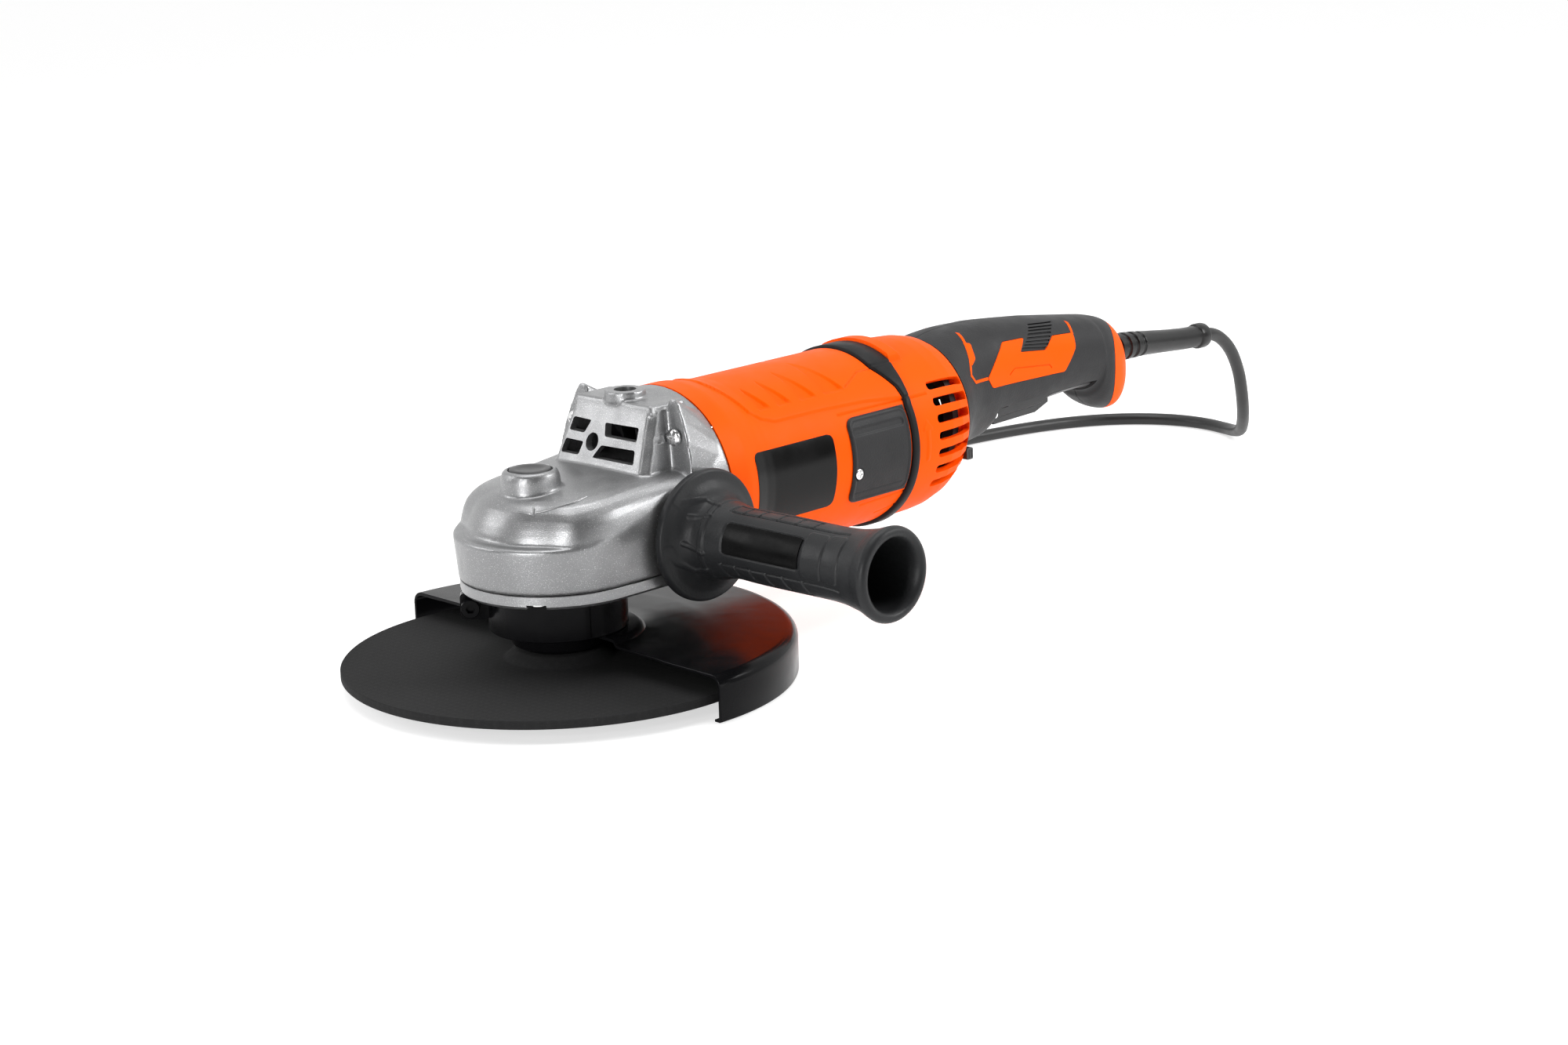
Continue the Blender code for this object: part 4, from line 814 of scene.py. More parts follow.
def make_bearing_plate():
    """The plate under the head, which carries the guard's neck."""
    def outline(radius):
        return [(x, y) for x, y, _ in plan_ring(radius, radius, 0, 0, 58)]

    rings = ((48.6, PLATE_BOTTOM), (50.2, PLATE_BOTTOM + 1.6), (50.2, SKIRT_BOTTOM - 0.6),
             (49.9, SKIRT_BOTTOM - 0.3))
    plate = loft("neck_plate", [[(x, y, z) for x, y in outline(r)] for r, z in rings])
    neck = turned("neck", "Z", (0, 0, 0), ((0, 27), (32.5, 27), (33.3, 27.8), (33.3, 50), (0, 50)), 140)
    join(plate, neck, rod("boss", "Z", (0, 0, 0), 24, 50, 65.9, 72))
    inside = ((0, 20), (12.5, 20), (12.5, 52), (20.4, 52), (20.4, 70), (0, 70))
    cut(plate, turned("inside", "Z", (0, 0, 0), inside, 96))
    cut(plate, rod("flange_clearance", "X", MOTOR, 54.5, 56.5, 90, 140))
    tools = [rod("lug_clearance", "X", (0, y, LUG_Z), 7.2, 49, 70) for y in (-EAR_Y, EAR_Y)]
    tools += [rod("recess", "Z", (x, y, 0), 5, 46, 50.6, 36) for x, y in PLATE_SCREWS[2:]]
    for x, y in PLATE_SCREWS[:2]:
        notch = block("notch", (38.8, -5.2, 46), (60, 5.2, 50.6))
        tools.append(turn_about_z(notch, math.degrees(math.atan2(y, x))))
    cut(plate, gather(*tools))
    show(bevel(plate, 0.3), "housing", "cast_aluminium", "bearing_plate", sharp=30)
    for number, (x, y) in enumerate(PLATE_SCREWS, 1):
        screw = cross_screw(f"plate_bolt_{number}", "Z", (x, y, 0), 4.4, 48.4, 50.3, 2.1, 64)
        show(screw, "housing", "steel", f"plate_screw_{number}", look="bright_steel")


def make_head_screws():
    spots = [(y, z) for z in (EAR_Z, LUG_Z) for y in (-EAR_Y, EAR_Y)]
    for number, (y, z) in enumerate(spots, 1):
        screw = cross_screw(f"head_bolt_{number}", "X", (0, y, z), 4.6, 50.0, 52.9, 1.7, 90)
        show(screw, "housing", "steel", f"gear_case_screw_{number}", look="bright_steel")


def make_lock():
    centre = (LOCK_X, 0, 0)
    outline = [(0, 80.2), (2.2, 80.2), (3, 81.2), (3, 109.4), (11.2, 109.4), (11.2, 112.2), (10.9, 112.8)]
    outline += [(10.3, LOCK_TOP), (7.6, LOCK_TOP), (6, LOCK_TOP - 0.5), (0, LOCK_TOP - 0.7)]
    show(turned("lock_cap", "Z", centre, outline, 96), "lock_button", "black_plastic", "lock_button")


def make_direction_arrow(head):
    """A thin arrow cast on the head's crown, which shows which way the spindle turns."""
    def on_head(x, y):
        hit = head.ray_cast(Vector((x, y, 160)) * MM, Vector((0, 0, -1)))[1]
        return (x, y, hit.z / MM)

    shaft = [on_head(x, y) for x, y in through([(-7, -34), (-15, -34.4), (-23, -30.6), (-31, -22)], 8)]
    barb = ((-35.4, -13), (-34.6, -15.6), (-33.6, -18.4), (-32.4, -21.6), (-29.6, -19.4))
    barb = [on_head(x, y) for x, y in barb]
    for name, line, radius in (("arrow_shaft", shaft, 0.7), ("arrow_barb", barb, 0.8)):
        show(wire(name, line, radius, "cast_aluminium"), "housing", "cast_aluminium")


# ---------------------------------------------------------------- guard


def make_guard():
    """Half a hood of pressed sheet, whose rim turns inwards at the foot."""
    sheet, top, rim = 1.8, 22.4, GUARD_RADIUS
    shape = [
        (27, 26.3), (41.2, 26.3), (43.2, 25.9), (45.2, 23.6), (48, top + 0.7), (56, top + 0.6),
        (76, top + 0.5), (80, top + 0.3), (84, top),
    ]
    outside = shape + arc(118.5, top - 6.5, 6.5, 90, 0, 10)
    outside += [(rim, FLOOR_Z + 1.4), (rim - 0.5, FLOOR_Z + 0.4), (rim - 1.4, FLOOR_Z)]
    inside = [(rim - 5, FLOOR_Z), (rim - 5, -0.6), (rim - 2.6, -0.6), (rim - sheet, 0.4)]
    inside += arc(118.5, top - 6.5, 6.5 - sheet, 0, 90, 8)
    inside += [(r, h - sheet) for r, h in reversed(shape)]
    guard = turned("guard_hood", "Z", (0, 0, 0), outside + inside, 180, -92.5, 88)
    show(bevel(guard, 0.35, 2, 50), "guard", "black_steel", "guard_shell")


def make_collar():
    radius, lug_r, lug_z = 36.6, 45.0, 40.5
    outline = ((33.7, 26.7), (36.2, 26.7), (radius, 27.1), (radius, 46.9), (36.0, 47.6), (33.7, 47.6))
    collar = turned("clamp_collar", "Z", (0, 0, 0), outline, 160)
    outline = rounded(box_outline(34.5, lug_r + 5.5, lug_z - 7, lug_z + 7), 2.6)
    join(collar, turn_about_z(prism("lug", outline, -8, 8, "Y"), LUG_ANGLE))
    inside = tube("inside", "Z", (0, 0, 0), 10, 33.7, 20, 60, 160)
    slit = turn_about_z(block("slit", (30, -1.2, 20), (60, 1.2, 60)), LUG_ANGLE)
    seam = turn_about_z(block("seam", (36.1, -0.35, 26), (40, 0.35, 50)), -105)
    hole = turn_about_z(rod("hole", "Y", (lug_r, 0, lug_z), 3, -20, 20, 36), LUG_ANGLE)
    cut(collar, inside, slit, seam, hole)
    show(bevel(collar, 0.3), "guard", "black_steel", "guard_collar", sharp=30)
    outline = ((0, 14.5), (4.6, 14.5), (5, 14.1), (5, 8.4), (2.7, 8.4), (2.7, -12), (0, -12))
    screw = turned("collar_screw", "Y", (lug_r, 0, lug_z), outline, 48)
    cut(screw, prism("socket", arc(lug_r, lug_z, 2.5, 0, 300, 5), 11.5, 16, "Y"))
    show(turn_about_z(screw, LUG_ANGLE), "guard", "black_steel", "clamp_screw", sharp=30)


# ---------------------------------------------------------------- motor housing


def fold(angle):
    """An angle about the motor's axis as if on the near side: the far side is its mirror image."""
    angle = (angle + 90) % 360 - 90
    return 180 - angle if angle > 90 else angle


PANEL_EDGE = (  # the raised top panel's lower edge, as x and angle
    (101, 88), (102, 78), (105, 67), (108, 57), (111, 47), (117, 41), (125, 37.5), (159, 37.4), (193, 36),
    (224, 32.3),
)
BAND_FRONT = (  # angle and x of the rubber band's two edges
    (-90, 219.2), (-57, 219.5), (-30, 222.3), (10, 222.4), (26, 222), (32, 223.2), (40, 222), (48, 218.5),
    (57, 214.5), (60, 214), (90, 214),
)
BAND_REAR = (
    (-90, 228), (-30, 228.3), (10, 227.4), (26, 227.2), (32, 228), (40, 228.6), (48, 229.5), (57, 230.5),
    (60, 231), (90, 231),
)
HOUSING_PROFILE = (
    (HOUSING_FRONT, 54), (90.5, 54), (93, 53.8), (100, 52.6), (107, 51.1), (114, BARREL), (300, BARREL),
)
SCALLOPS = ((119, 126), (133.5, 142), (150.7, 161.5), (169.3, 183.5))  # x from and to, at their lower ends
GROOVES = (
    ((186, 48), (203, 57.5), (217, 57.3)), ((171, 31.6), (224, 31.2)), ((187, -33), (225, -31)),
    ((207, -47), (225, -42)),
)


def arc_mm(angle):
    return math.radians(angle) * BARREL


def panel_raise(x, angle):
    """How far the raised top panel stands up, with a soft fillet at its edge."""
    low = between(PANEL_EDGE, x)
    inside = min(arc_mm(angle - low), (x - 101.5) * 0.9, between(BAND_FRONT, angle) - 0.4 - x)
    return 1.1 * ease(inside / 2.0 + 0.5)


def scallop_depth(x, angle):
    deepest = 0.0
    for left, right in SCALLOPS:
        front = right - 16 * (angle - 50) / 40
        reach = min(x - left, front - x)
        if angle < 44 or angle > 86 or reach < -1:
            continue
        along = ease((angle - 45.5) / 4.5) if angle < 50 else 1 - (angle - 50) / 36
        deepest = max(deepest, 1.5 * along * ease(reach / 0.8 + 0.35))
    return deepest


def groove_depth(x, angle, grooves, half=0.45, deep=0.6):
    near = min(segment_distance(x, arc_mm(angle), [(u, arc_mm(v)) for u, v in line]) for line in grooves)
    return deep * (1 - ease((near - half * 0.5) / half))


def housing_radius(x, angle):
    a = fold(angle)
    radius = between(HOUSING_PROFILE, x)
    if x > 92:
        radius += panel_raise(x, a)
    if 44 < a < 87 and 115 < x < 186:
        radius -= scallop_depth(x, a)
    if x > 168:
        radius -= groove_depth(x, a, GROOVES)
    return radius


def make_motor_housing():
    rows = 210
    steps = 540
    rear = 224.2
    rings = []
    for i in range(rows + 1):
        x = HOUSING_FRONT + (rear - HOUSING_FRONT) * i / rows
        angles = [360 * j / steps for j in range(steps)]
        rings.append([place("X", housing_radius(x, angle), angle, x, MOTOR) for angle in angles])
    for x in (rear, HOUSING_FRONT):
        rings.append(circle("X", 47, x, MOTOR, steps))
    housing = loft("motor_barrel", rings, closed=True)
    hub = tube("hub", "X", MOTOR, 13.3, 17.5, 203.5, 215, 72)
    spokes = [tube("spoke", "X", MOTOR, 15.5, 48, 205, 214, 6, a - 5, a + 5) for a in (45, 135, 225, 315)]
    join(hub, *spokes)
    windows = [block("window", (176, y0, 64), (218, y1, 107)) for y0, y1 in ((-60, -30), (30, 60))]
    holes = [rod("hole", "X", (0, y, z), 1.9, 70, 91, 20) for y in (-EAR_Y, EAR_Y) for z in (EAR_Z, LUG_Z)]
    cut(housing, gather(*windows, *holes))
    show(gather(housing, hub), "housing", "orange_plastic", "motor_housing", sharp=50)


def patch(name, x_span, angles, top, under, rows=60, columns=60, axis="X", centre=MOTOR):
    """A thin piece round an axis: x_span gives its ends at an angle, and top and under its radii."""
    rings = []
    for i in range(rows + 1):
        angle = angles[0] + (angles[1] - angles[0]) * i / rows
        x0, x1 = x_span(angle)
        spots = [x0 + (x1 - x0) * j / columns for j in range(columns + 1)]
        ring = [place(axis, top(x, angle), angle, x, centre) for x in spots]
        ring += [place(axis, under(x, angle), angle, x, centre) for x in reversed(spots)]
        rings.append(ring)
    return loft(name, rings)


def corner_cut(angle, low, high, radius):
    """How far a rounded corner pulls an edge in, at an angle between low and high."""
    gap = arc_mm(min(angle - low, high - angle))
    return radius - math.sqrt(max(radius ** 2 - max(radius - gap, 0) ** 2, 0)) if gap < radius else 0.0


def make_label():
    """A plain glossy plate on the motor's near side."""
    low, high = -25.5, 21.7

    def ends(angle):
        inset = corner_cut(angle, low, high, 4)
        return 99 + inset, 161.5 - inset

    plate = patch("label_plate", ends, (low, high), lambda x, a: between(HOUSING_PROFILE, x) + 0.22,
                  lambda x, a: between(HOUSING_PROFILE, x) - 0.4)
    show(plate, "housing", "black_plastic", look="label")


COVER_SCREW_X, COVER_SCREW_ANGLE = 178.5, -8.0


def cover_radius(x, angle):
    """A brush cover's surface: a raised border, a long recess, a fine line and a sunk screw hole."""
    s = arc_mm(angle)
    edge = -box_distance(x, s, 174, 221.2, arc_mm(-28), arc_mm(28), 6)
    radius = BARREL + 1.6 - 0.9 * (1 - ease(edge / 1.2)) - 0.35 * ease((edge - 2.2) / 0.7)
    slot = -box_distance(x, s, 176, 217, arc_mm(15.8), arc_mm(20.4), 2.0)
    radius -= 0.7 * ease(slot / 0.6 + 0.5)
    radius -= groove_depth(x, angle, (((177, -20.5), (215, -20.5)),), 0.35, 0.35)
    hole = 3.4 - math.hypot(x - COVER_SCREW_X, s - arc_mm(COVER_SCREW_ANGLE))
    return max(radius - 1.1 * ease(hole / 0.6 + 0.5), BARREL + 0.35)


def make_brush_covers():
    for word, turn in (("left", 1), ("right", -1)):
        def ends(angle):
            inset = corner_cut(fold(angle), -28, 28, 6)
            return 174 + inset, 220.8

        angles = (-28, 28) if turn > 0 else (152, 208)
        cover = patch(f"brush_door_{word}", ends, angles, lambda x, a: cover_radius(x, fold(a)),
                      lambda x, a: BARREL + 0.3, 110, 96)
        show(cover, "housing", "dark_plastic", f"brush_cover_{word}", sharp=50)
        screw_z = MOTOR_Z + BARREL * math.sin(math.radians(COVER_SCREW_ANGLE))
        face = -turn * (BARREL + 1.55)
        screw = cross_screw(f"door_screw_{word}", "Y", (COVER_SCREW_X, 0, screw_z), 2.9, face,
                            face + turn * 1.0, 1.6, face + turn * 3.4)
        show(screw, "housing", "steel", f"brush_cover_screw_{word}", look="bright_steel")


def make_band():
    """The rubber band between housing and cap, which widens to a rest pad on top."""
    steps = 360
    rings = []
    for j in range(steps):
        angle = 360 * j / steps
        a = fold(angle)
        x0, x1 = between(BAND_FRONT, a), between(BAND_REAR, a)
        outer = 52.4 + 0.5 * ease((a - 52) / 6)
        for seam in (58, 32):
            outer -= 0.5 * (1 - ease(abs(arc_mm(a - seam)) / 0.5))
        shape = (
            (x0, 49.6), (x0, outer - 1.2), (x0 + 0.35, outer - 0.4), (x0 + 1.1, outer),
            (x1 - 1.1, outer), (x1 - 0.35, outer - 0.4), (x1, outer - 1.2), (x1, 49.6),
        )
        rings.append([place("X", r, angle, x, MOTOR) for x, r in shape])
    show(loft("rubber_band", rings, closed=True), "housing", "rubber", "bumper_band", sharp=50)


CAP_PROFILE = (  # x, radius, and how far the centre has moved from the motor's axis to the swivel's
    (224.9, 50.3, 0), (240, 50.3, 0), (250, 50.3, 0.05), (258, 50.0, 0.15), (268, 48.4, 0.4),
    (276, 45.4, 0.75), (279.6, 42.8, 0.97), (280.7, 41.6, 1),
)
CAP_INSIDE = (
    (CAP_REAR, 35, 1), (275.6, 35, 1), (275.4, 42, 0.75), (267, 45, 0.4), (258, 46.6, 0.15),
    (240, 46.8, 0), (224.9, 46.6, 0),
)


def cap_centre(share):
    return (0, 0, MOTOR_Z + (SWIVEL_Z - MOTOR_Z) * share)


def cap_point(x, angle):
    """A point on the end cap, a circle that drifts up to the swivel's axis, with a hump on top."""
    a = fold(angle)
    radius = between([(px, r) for px, r, _ in CAP_PROFILE], x)
    share = between([(px, s) for px, _, s in CAP_PROFILE], x)
    hump = min((x - 230.4) / 0.8, (242.6 - x) / 3.4, arc_mm(a - 58) / 4)
    radius += 4.1 * ease(min(max(hump, 0), 1))
    if 226 < x < 262:
        radius -= groove_depth(x, a, (((226, 31), (243, 31)),))
        arrow = -box_distance(x, arc_mm(a), 235.4, 237.8, arc_mm(-12), arc_mm(9), 0.4)
        tip = min(arc_mm(14.5 - a) - abs(x - 236.6) * 1.4, arc_mm(a - 8))
        radius += 0.5 * ease(max(arrow, tip) / 0.4 + 0.5)
    return place("X", radius, angle, x, cap_centre(share))


def make_end_cap():
    steps = 480
    first = CAP_PROFILE[0][0]
    stations = [first + (CAP_REAR - first) * i / 96 for i in range(97)]
    rings = [[cap_point(x, 360 * j / steps) for j in range(steps)] for x in stations]
    rings += [circle("X", radius, x, cap_centre(share), steps) for x, radius, share in CAP_INSIDE]
    cap = loft("rear_housing_cap", rings, closed=True)
    slots = []
    outline = rounded(box_outline(245.6, 278, -2.5, 2.5), 2.4, 4)
    above = Matrix.Translation((0, 0, (MOTOR_Z + 1.2) * MM))
    for side, way in ((0, 1), (180, -1)):
        for step in range(7):
            angle = side + way * (-33.5 + 11.3 * step)
            slot = prism("slot", outline, 38, 60)
            slot.data.transform(above @ Matrix.Rotation(math.radians(90 - angle), 4, "X"))
            slots.append(slot)
    cut(cap, gather(*slots))
    show(cap, "housing", "orange_plastic", "end_cap", sharp=40)


# ---------------------------------------------------------------- side handle

SIDE = (SIDE_X, 0, SIDE_Z)
GRIP_PROFILE = (  # y and radius, from the flange to the free end
    (-54.6, 31), (-54.8, 33.6), (-55.4, 34.7), (-56.4, 35), (-58.2, 35), (-59.3, 34.6), (-59.9, 33.6),
    (-60.3, 32.0), (-61.2, 29.0), (-63.2, 25.6), (-65.8, 23.2), (-69, 21.6), (-76.6, 20.2), (-86.6, 18.7),
    (-100, 18.9), (-114.6, 19), (-149.6, 18.8), (-160, 19.1), (-166.6, 19.7), (-173, 20.8), (-178.6, 22.0),
    (-182, 23.2), (-185, 24.2), (-186.7, 24.6), (-188.5, 24.2), (-189.7, 23.4), (-190.3, 22.4),
    (-190.5, 21.4),
)
GRIP_HOLLOW = (  # radius and y, from the free end inwards and out along the stud
    (19.6, -189.7), (18.4, -186), (17.8, -176), (15.6, -143), (0.01, -142), (0.01, -84.6), (7.4, -84.6),
    (7.4, -54.6),
)
GRIP_GROOVES = (  # the ends of each line cut round the grip's raised segments, as y and angle
    ((-84, 110), (-166.6, 110)), ((-84, 86), (-142, 86)),
    ((-84, 204), (-168.6, 204)), ((-84, 238), (-144, 238)),
    *[((y, 86), (y + 1.5, 110)) for y in (-84, -93, -104, -117, -130, -142)],
    *[((y, 204), (y - 1.5, 238)) for y in (-84, -94, -105, -116, -128, -142)],
)


def grip_groove(y, s, line, half, deep):
    return deep * (1 - ease((segment_distance(y, s, line) - half * 0.5) / half))


def grip_relief(y, angle):
    """How far the grip's moulded details stand above (or below) its plain surface."""
    def run(degrees):
        return math.radians(degrees) * 19.0

    s = run(angle)
    rise = 0.0
    inset = -box_distance(y, s, -141.5, -86, run(131), run(186), 3)
    rise -= 0.7 * ease(inset / 0.6 + 0.5)
    strip = -box_distance(y, s, -156, -142.6, run(119), run(195), 2)
    rise += 0.45 * ease(strip / 0.7 + 0.5)
    pad = -box_distance(y, s, -168.5, -157, run(118), run(194), 2.5)
    rise += 0.6 * ease(pad / 0.7 + 0.5)
    for (y0, a0), (y1, a1) in GRIP_GROOVES:
        if min(y0, y1) - 2 < y < max(y0, y1) + 2 and 80 < angle < 244:
            rise -= grip_groove(y, s, ((y0, run(a0)), (y1, run(a1))), 0.6, 0.8)
    if y > -78:
        claws = (((-60.6, 137), (-66, 108), (-75, 108.6)), ((-65, 142), (-74.6, 131)),
                 ((-60.8, 182), (-62.5, 200), (-67, 219), (-75, 217)), ((-65, 177), (-75, 188)))
        for claw in claws:
            rise += grip_groove(y, s, [(u, run(v)) for u, v in claw], 1.0, 0.7)
        rise += 0.5 * (1 - ease((abs(y + 73.6) - 1.2) / 0.6))
    return rise


def make_side_handle():
    steps = 360
    curve = through(GRIP_PROFILE, 6)
    table = [(-y, r) for y, r in curve]
    stations = sorted({round(-y, 2) for y, _ in curve} | {62 + 0.55 * i for i in range(206)})
    profile = [(-y, between(table, y)) for y in stations]
    rings = []
    for y, r in profile:
        ring = []
        for j in range(steps):
            rise = grip_relief(y, 360 * j / steps) if -176 < y < -60 else 0.0
            ring.append(place("Y", r + rise, 360 * j / steps, y, SIDE))
        rings.append(ring)
    rings += [circle("Y", r, y, SIDE, steps) for r, y in GRIP_HOLLOW]
    grip = loft("side_grip", rings, closed=True)
    show(grip, "housing", "rubber", "side_handle_grip", sharp=50, look="grip_rubber")

    def ends(angle):
        inset = corner_cut(angle, 133, 184, 2.4) * 0.9
        return -140.3 + inset, -87.2 - inset

    def top(y, angle):
        return between([(-spot, r) for spot, r in GRIP_PROFILE], -y) - 0.05

    inset = patch("grip_inset", ends, (133, 184), top, lambda y, a: 17.2, 30, 60, "Y", SIDE)
    show(inset, "housing", "rubber", sharp=50, look="gloss_panel")
    outline = [(0, -37.6), (6.2, -37.6), (7, -38.6), (7, -84.2), (0, -84.2)]
    stud = turned("threaded_stud", "Y", SIDE, outline, 64)
    show(stud, "housing", "steel", "side_handle_stud", look="bright_steel")


# ---------------------------------------------------------------- rear handle

# x, top, bottom, half width of each section, and how square the section is
HANDLE_SECTIONS = (
    (281.2, 132.6, 48.6, 41.8, 2.0), (287.0, 133.8, 53.5, 38.5, 2.05), (295.0, 135.0, 60.0, 34.0, 2.1),
    (306.0, 135.7, 64.5, 30.5, 2.15), (322.0, 135.4, 67.0, 28.0, 2.2), (336.0, 134.7, 72.6, 26.6, 2.3),
    (372.0, 131.2, 73.6, 24.8, 2.3), (386.0, 129.4, 77.4, 24.6, 2.3), (421.0, 124.4, 78.4, 24.4, 2.3),
    (428.0, 123.4, 72.2, 24.2, 2.3), (435.0, 122.2, 66.6, 23.6, 2.3), (443.5, 119.8, 63.0, 21.6, 2.3),
    (450.0, 116.0, 62.2, 19.2, 2.3), (455.5, 111.4, 63.4, 16.0, 2.2), (460.0, 106.0, 67.4, 12.0, 2.1),
    (463.0, 100.5, 73.0, 7.6, 2.0),
)
# side outlines (x, z) of the orange insert, the trim round it and the ribbed patch
INSERT = ((333.5, 124.3), (353.7, 123.4), (346.4, 116.5), (370.5, 113.7), (380.4, 120.3), (399.6, 119.0),
          (397.9, 110.8), (387, 98.1), (316.9, 100.7), (312.1, 107.2))
FRONT_ARC = (
    (305.2, 133.4), (304, 130.4), (301.5, 125.9), (298.6, 119.7), (295.8, 115), (294.6, 112.3),
    (298.2, 107.8), (312.1, 107.2),
)
FRONT_BULGE = ((301.7, 129.1), (307.1, 127.8), (305.7, 125.3), (304.8, 122), (304.3, 119.9), (298.4, 116.9))
REAR_ARC = ((402.5, 124.6), (400.5, 121.7), (399.1, 118.6))
RIBS_LEFT = ((367, 128.9), (361.5, 125.5), (354.5, 120.9), (347.8, 117.3))
RIBS_RIGHT = ((390.3, 126.8), (382.6, 123.4), (376.8, 118.5), (370.5, 113.7))
LEVER_SPAN = (327.0, 422.0)


def oval(x, top, bottom, half_width, power, steps=120):
    """A superellipse across X: power 2 is an ellipse, and more is squarer."""
    middle_z, half_height = (top + bottom) / 2, (top - bottom) / 2
    ring = []
    for j in range(steps):
        a = 2 * math.pi * j / steps
        c, s = math.cos(a), math.sin(a)
        y = math.copysign(abs(c) ** (2 / power), c) * half_width
        z = math.copysign(abs(s) ** (2 / power), s) * half_height
        ring.append((x, y, middle_z + z))
    return ring


def handle_rings(grow=0.0, first=0, last=None):
    sections = through(HANDLE_SECTIONS, 6)[first * 6:None if last is None else last * 6]
    rings = []
    for x, top, bottom, half, power in sections:
        rings.append(oval(x, top + grow, bottom - grow, half + grow, power))
    return rings


def handle_band(low, high):
    """A skin that follows the handle's outside, from low to high above it."""
    return loft("band", handle_rings(high) + list(reversed(handle_rings(low))), closed=True)


def on_handle(name, outline, side, low, high):
    """The part of the handle's skin inside a side outline (x, z), on one side of the handle."""
    piece = prism(name, outline, *sorted((side * 3, side * 60)), "Y")
    return keep(piece, handle_band(low, high))


def rear_zone(gap=0.0):
    """The part of the handle that the rear cap takes up, seen from above."""
    front = [(446 - 0.0185 * y * y + gap, y) for y in range(-40, 41, 4)]
    return [*front, (500, 40), (500, -40)]


def thick_line(line, width):
    """The outline of a line of (u, v) points drawn width wide."""
    left, right = [], []
    for i, spot in enumerate(line):
        before, after = Vector(line[max(i - 1, 0)]), Vector(line[min(i + 1, len(line) - 1)])
        along = (after - before).normalized()
        across = Vector((-along.y, along.x)) * width / 2
        left.append(tuple(Vector(spot) + across))
        right.append(tuple(Vector(spot) - across))
    return left + right[::-1]


def grown(outline, gap):
    """The outline moved outwards by about gap."""
    area = sum(a[0] * b[1] - b[0] * a[1] for a, b in zip(outline, outline[1:] + outline[:1]))
    found = []
    for i, spot in enumerate(outline):
        before, after = Vector(outline[i - 1]), Vector(outline[(i + 1) % len(outline)])
        along = (after - before).normalized()
        out = Vector((along.y, -along.x)) * (1 if area > 0 else -1)
        found.append(tuple(Vector(spot) + out * gap))
    return found


def rib_grooves(side):
    """Grooves across the thumb rest, between the lines down its two sides."""
    tools = []
    count = 8
    for k in range(count):
        t0, t1 = (k + 0.12) / count, (k + 0.62) / count
        spots = []
        for line in (RIBS_LEFT, RIBS_RIGHT):
            for t in (t0, t1):
                spot = t * (len(line) - 1)
                i = min(int(spot), len(line) - 2)
                a, b = Vector(line[i]), Vector(line[i + 1])
                spots.append(tuple(a.lerp(b, spot - i)))
        outline = (spots[0], spots[2], spots[3], spots[1])
        tools.append(on_handle("rib_groove", outline, side, -0.8, 2))
    return gather(*tools)


def make_shell(word, side):
    shell = loft(f"grip_shell_{word}", handle_rings())
    cut(shell, prism("rear", rear_zone(), 40, 150))
    swivel = (0, 0, SWIVEL_Z)
    neck = ((0, 270.5), (38.5, 270.5), (38.5, 275), (34.5, 275), (34.5, 281.6), (0, 281.6))
    join(shell, turned("neck", "X", swivel, neck, 96))
    bore = ((0, 265), (31, 265), (31, 290), (0, 290))
    cut(shell, loft("hollow", handle_rings(-2.6, 1, -2)), turned("bore", "X", swivel, bore, 96))
    cut(shell, block("lever_opening", (LEVER_SPAN[0] - 1, -60, 40), (LEVER_SPAN[1] + 1, 60, 86)))
    join(shell, block("screw_post", (424, -19, 100), (434, 19, 112)))
    if side < 0:
        cut(shell, block("button_slot", (281, -60, 65.4), (291, -31.1, 73.4)))
    near, far = sorted((side * 0.2, side * 80))
    keep(shell, block("half", (260, near, 20), (500, far, 160)))
    pocket = on_handle("pocket", grown(rounded(INSERT, 1.6), 0.25), side, -1.3, 2)
    front = on_handle("pocket", grown(thick_line(FRONT_ARC, 1.7), 0.1), side, -1.3, 2)
    bulge = on_handle("pocket", rounded(FRONT_BULGE, 1.2), side, -1.3, 2)
    rear = on_handle("pocket", thick_line(REAR_ARC, 1.8), side, -1.3, 2)
    cut(shell, pocket, front, bulge, rear, rib_grooves(side))
    show(shell, "rear_handle", "dark_plastic", f"handle_{word}", sharp=40)
    relief = [(333.8, 105.3), (338.9, 108.5), (372.1, 104.8), (374.5, 102.6)]
    insert = on_handle(f"grip_insert_{word}", rounded(INSERT, 1.6), side, -1.2, 0.25)
    cut(insert, on_handle("line", thick_line(relief, 0.7), side, -0.2, 2))
    show(insert, "rear_handle", "orange_plastic", sharp=40)
    line = on_handle(f"front_trim_{word}", thick_line(FRONT_ARC, 1.7), side, -1.2, 0.15)
    join(line, on_handle("bulge", rounded(FRONT_BULGE, 1.2), side, -1.2, 0.15))
    show(line, "rear_handle", "orange_plastic", sharp=40)
    line = on_handle(f"rear_trim_{word}", thick_line(REAR_ARC, 1.7), side, -1.2, 0.15)
    show(line, "rear_handle", "orange_plastic", sharp=40)


def make_handle():
    for word, side in (("left", -1), ("right", 1)):
        make_shell(word, side)
    cap = loft("handle_end_cap", handle_rings())
    keep(cap, prism("zone", rear_zone(0.35), 40, 150))
    cut(cap, rod("cable_hole", "X", (0, 0, BOOT_START.z), 8.9, 440, 500, 64))
    show(cap, "rear_handle", "orange_plastic", "rear_cap", sharp=40)


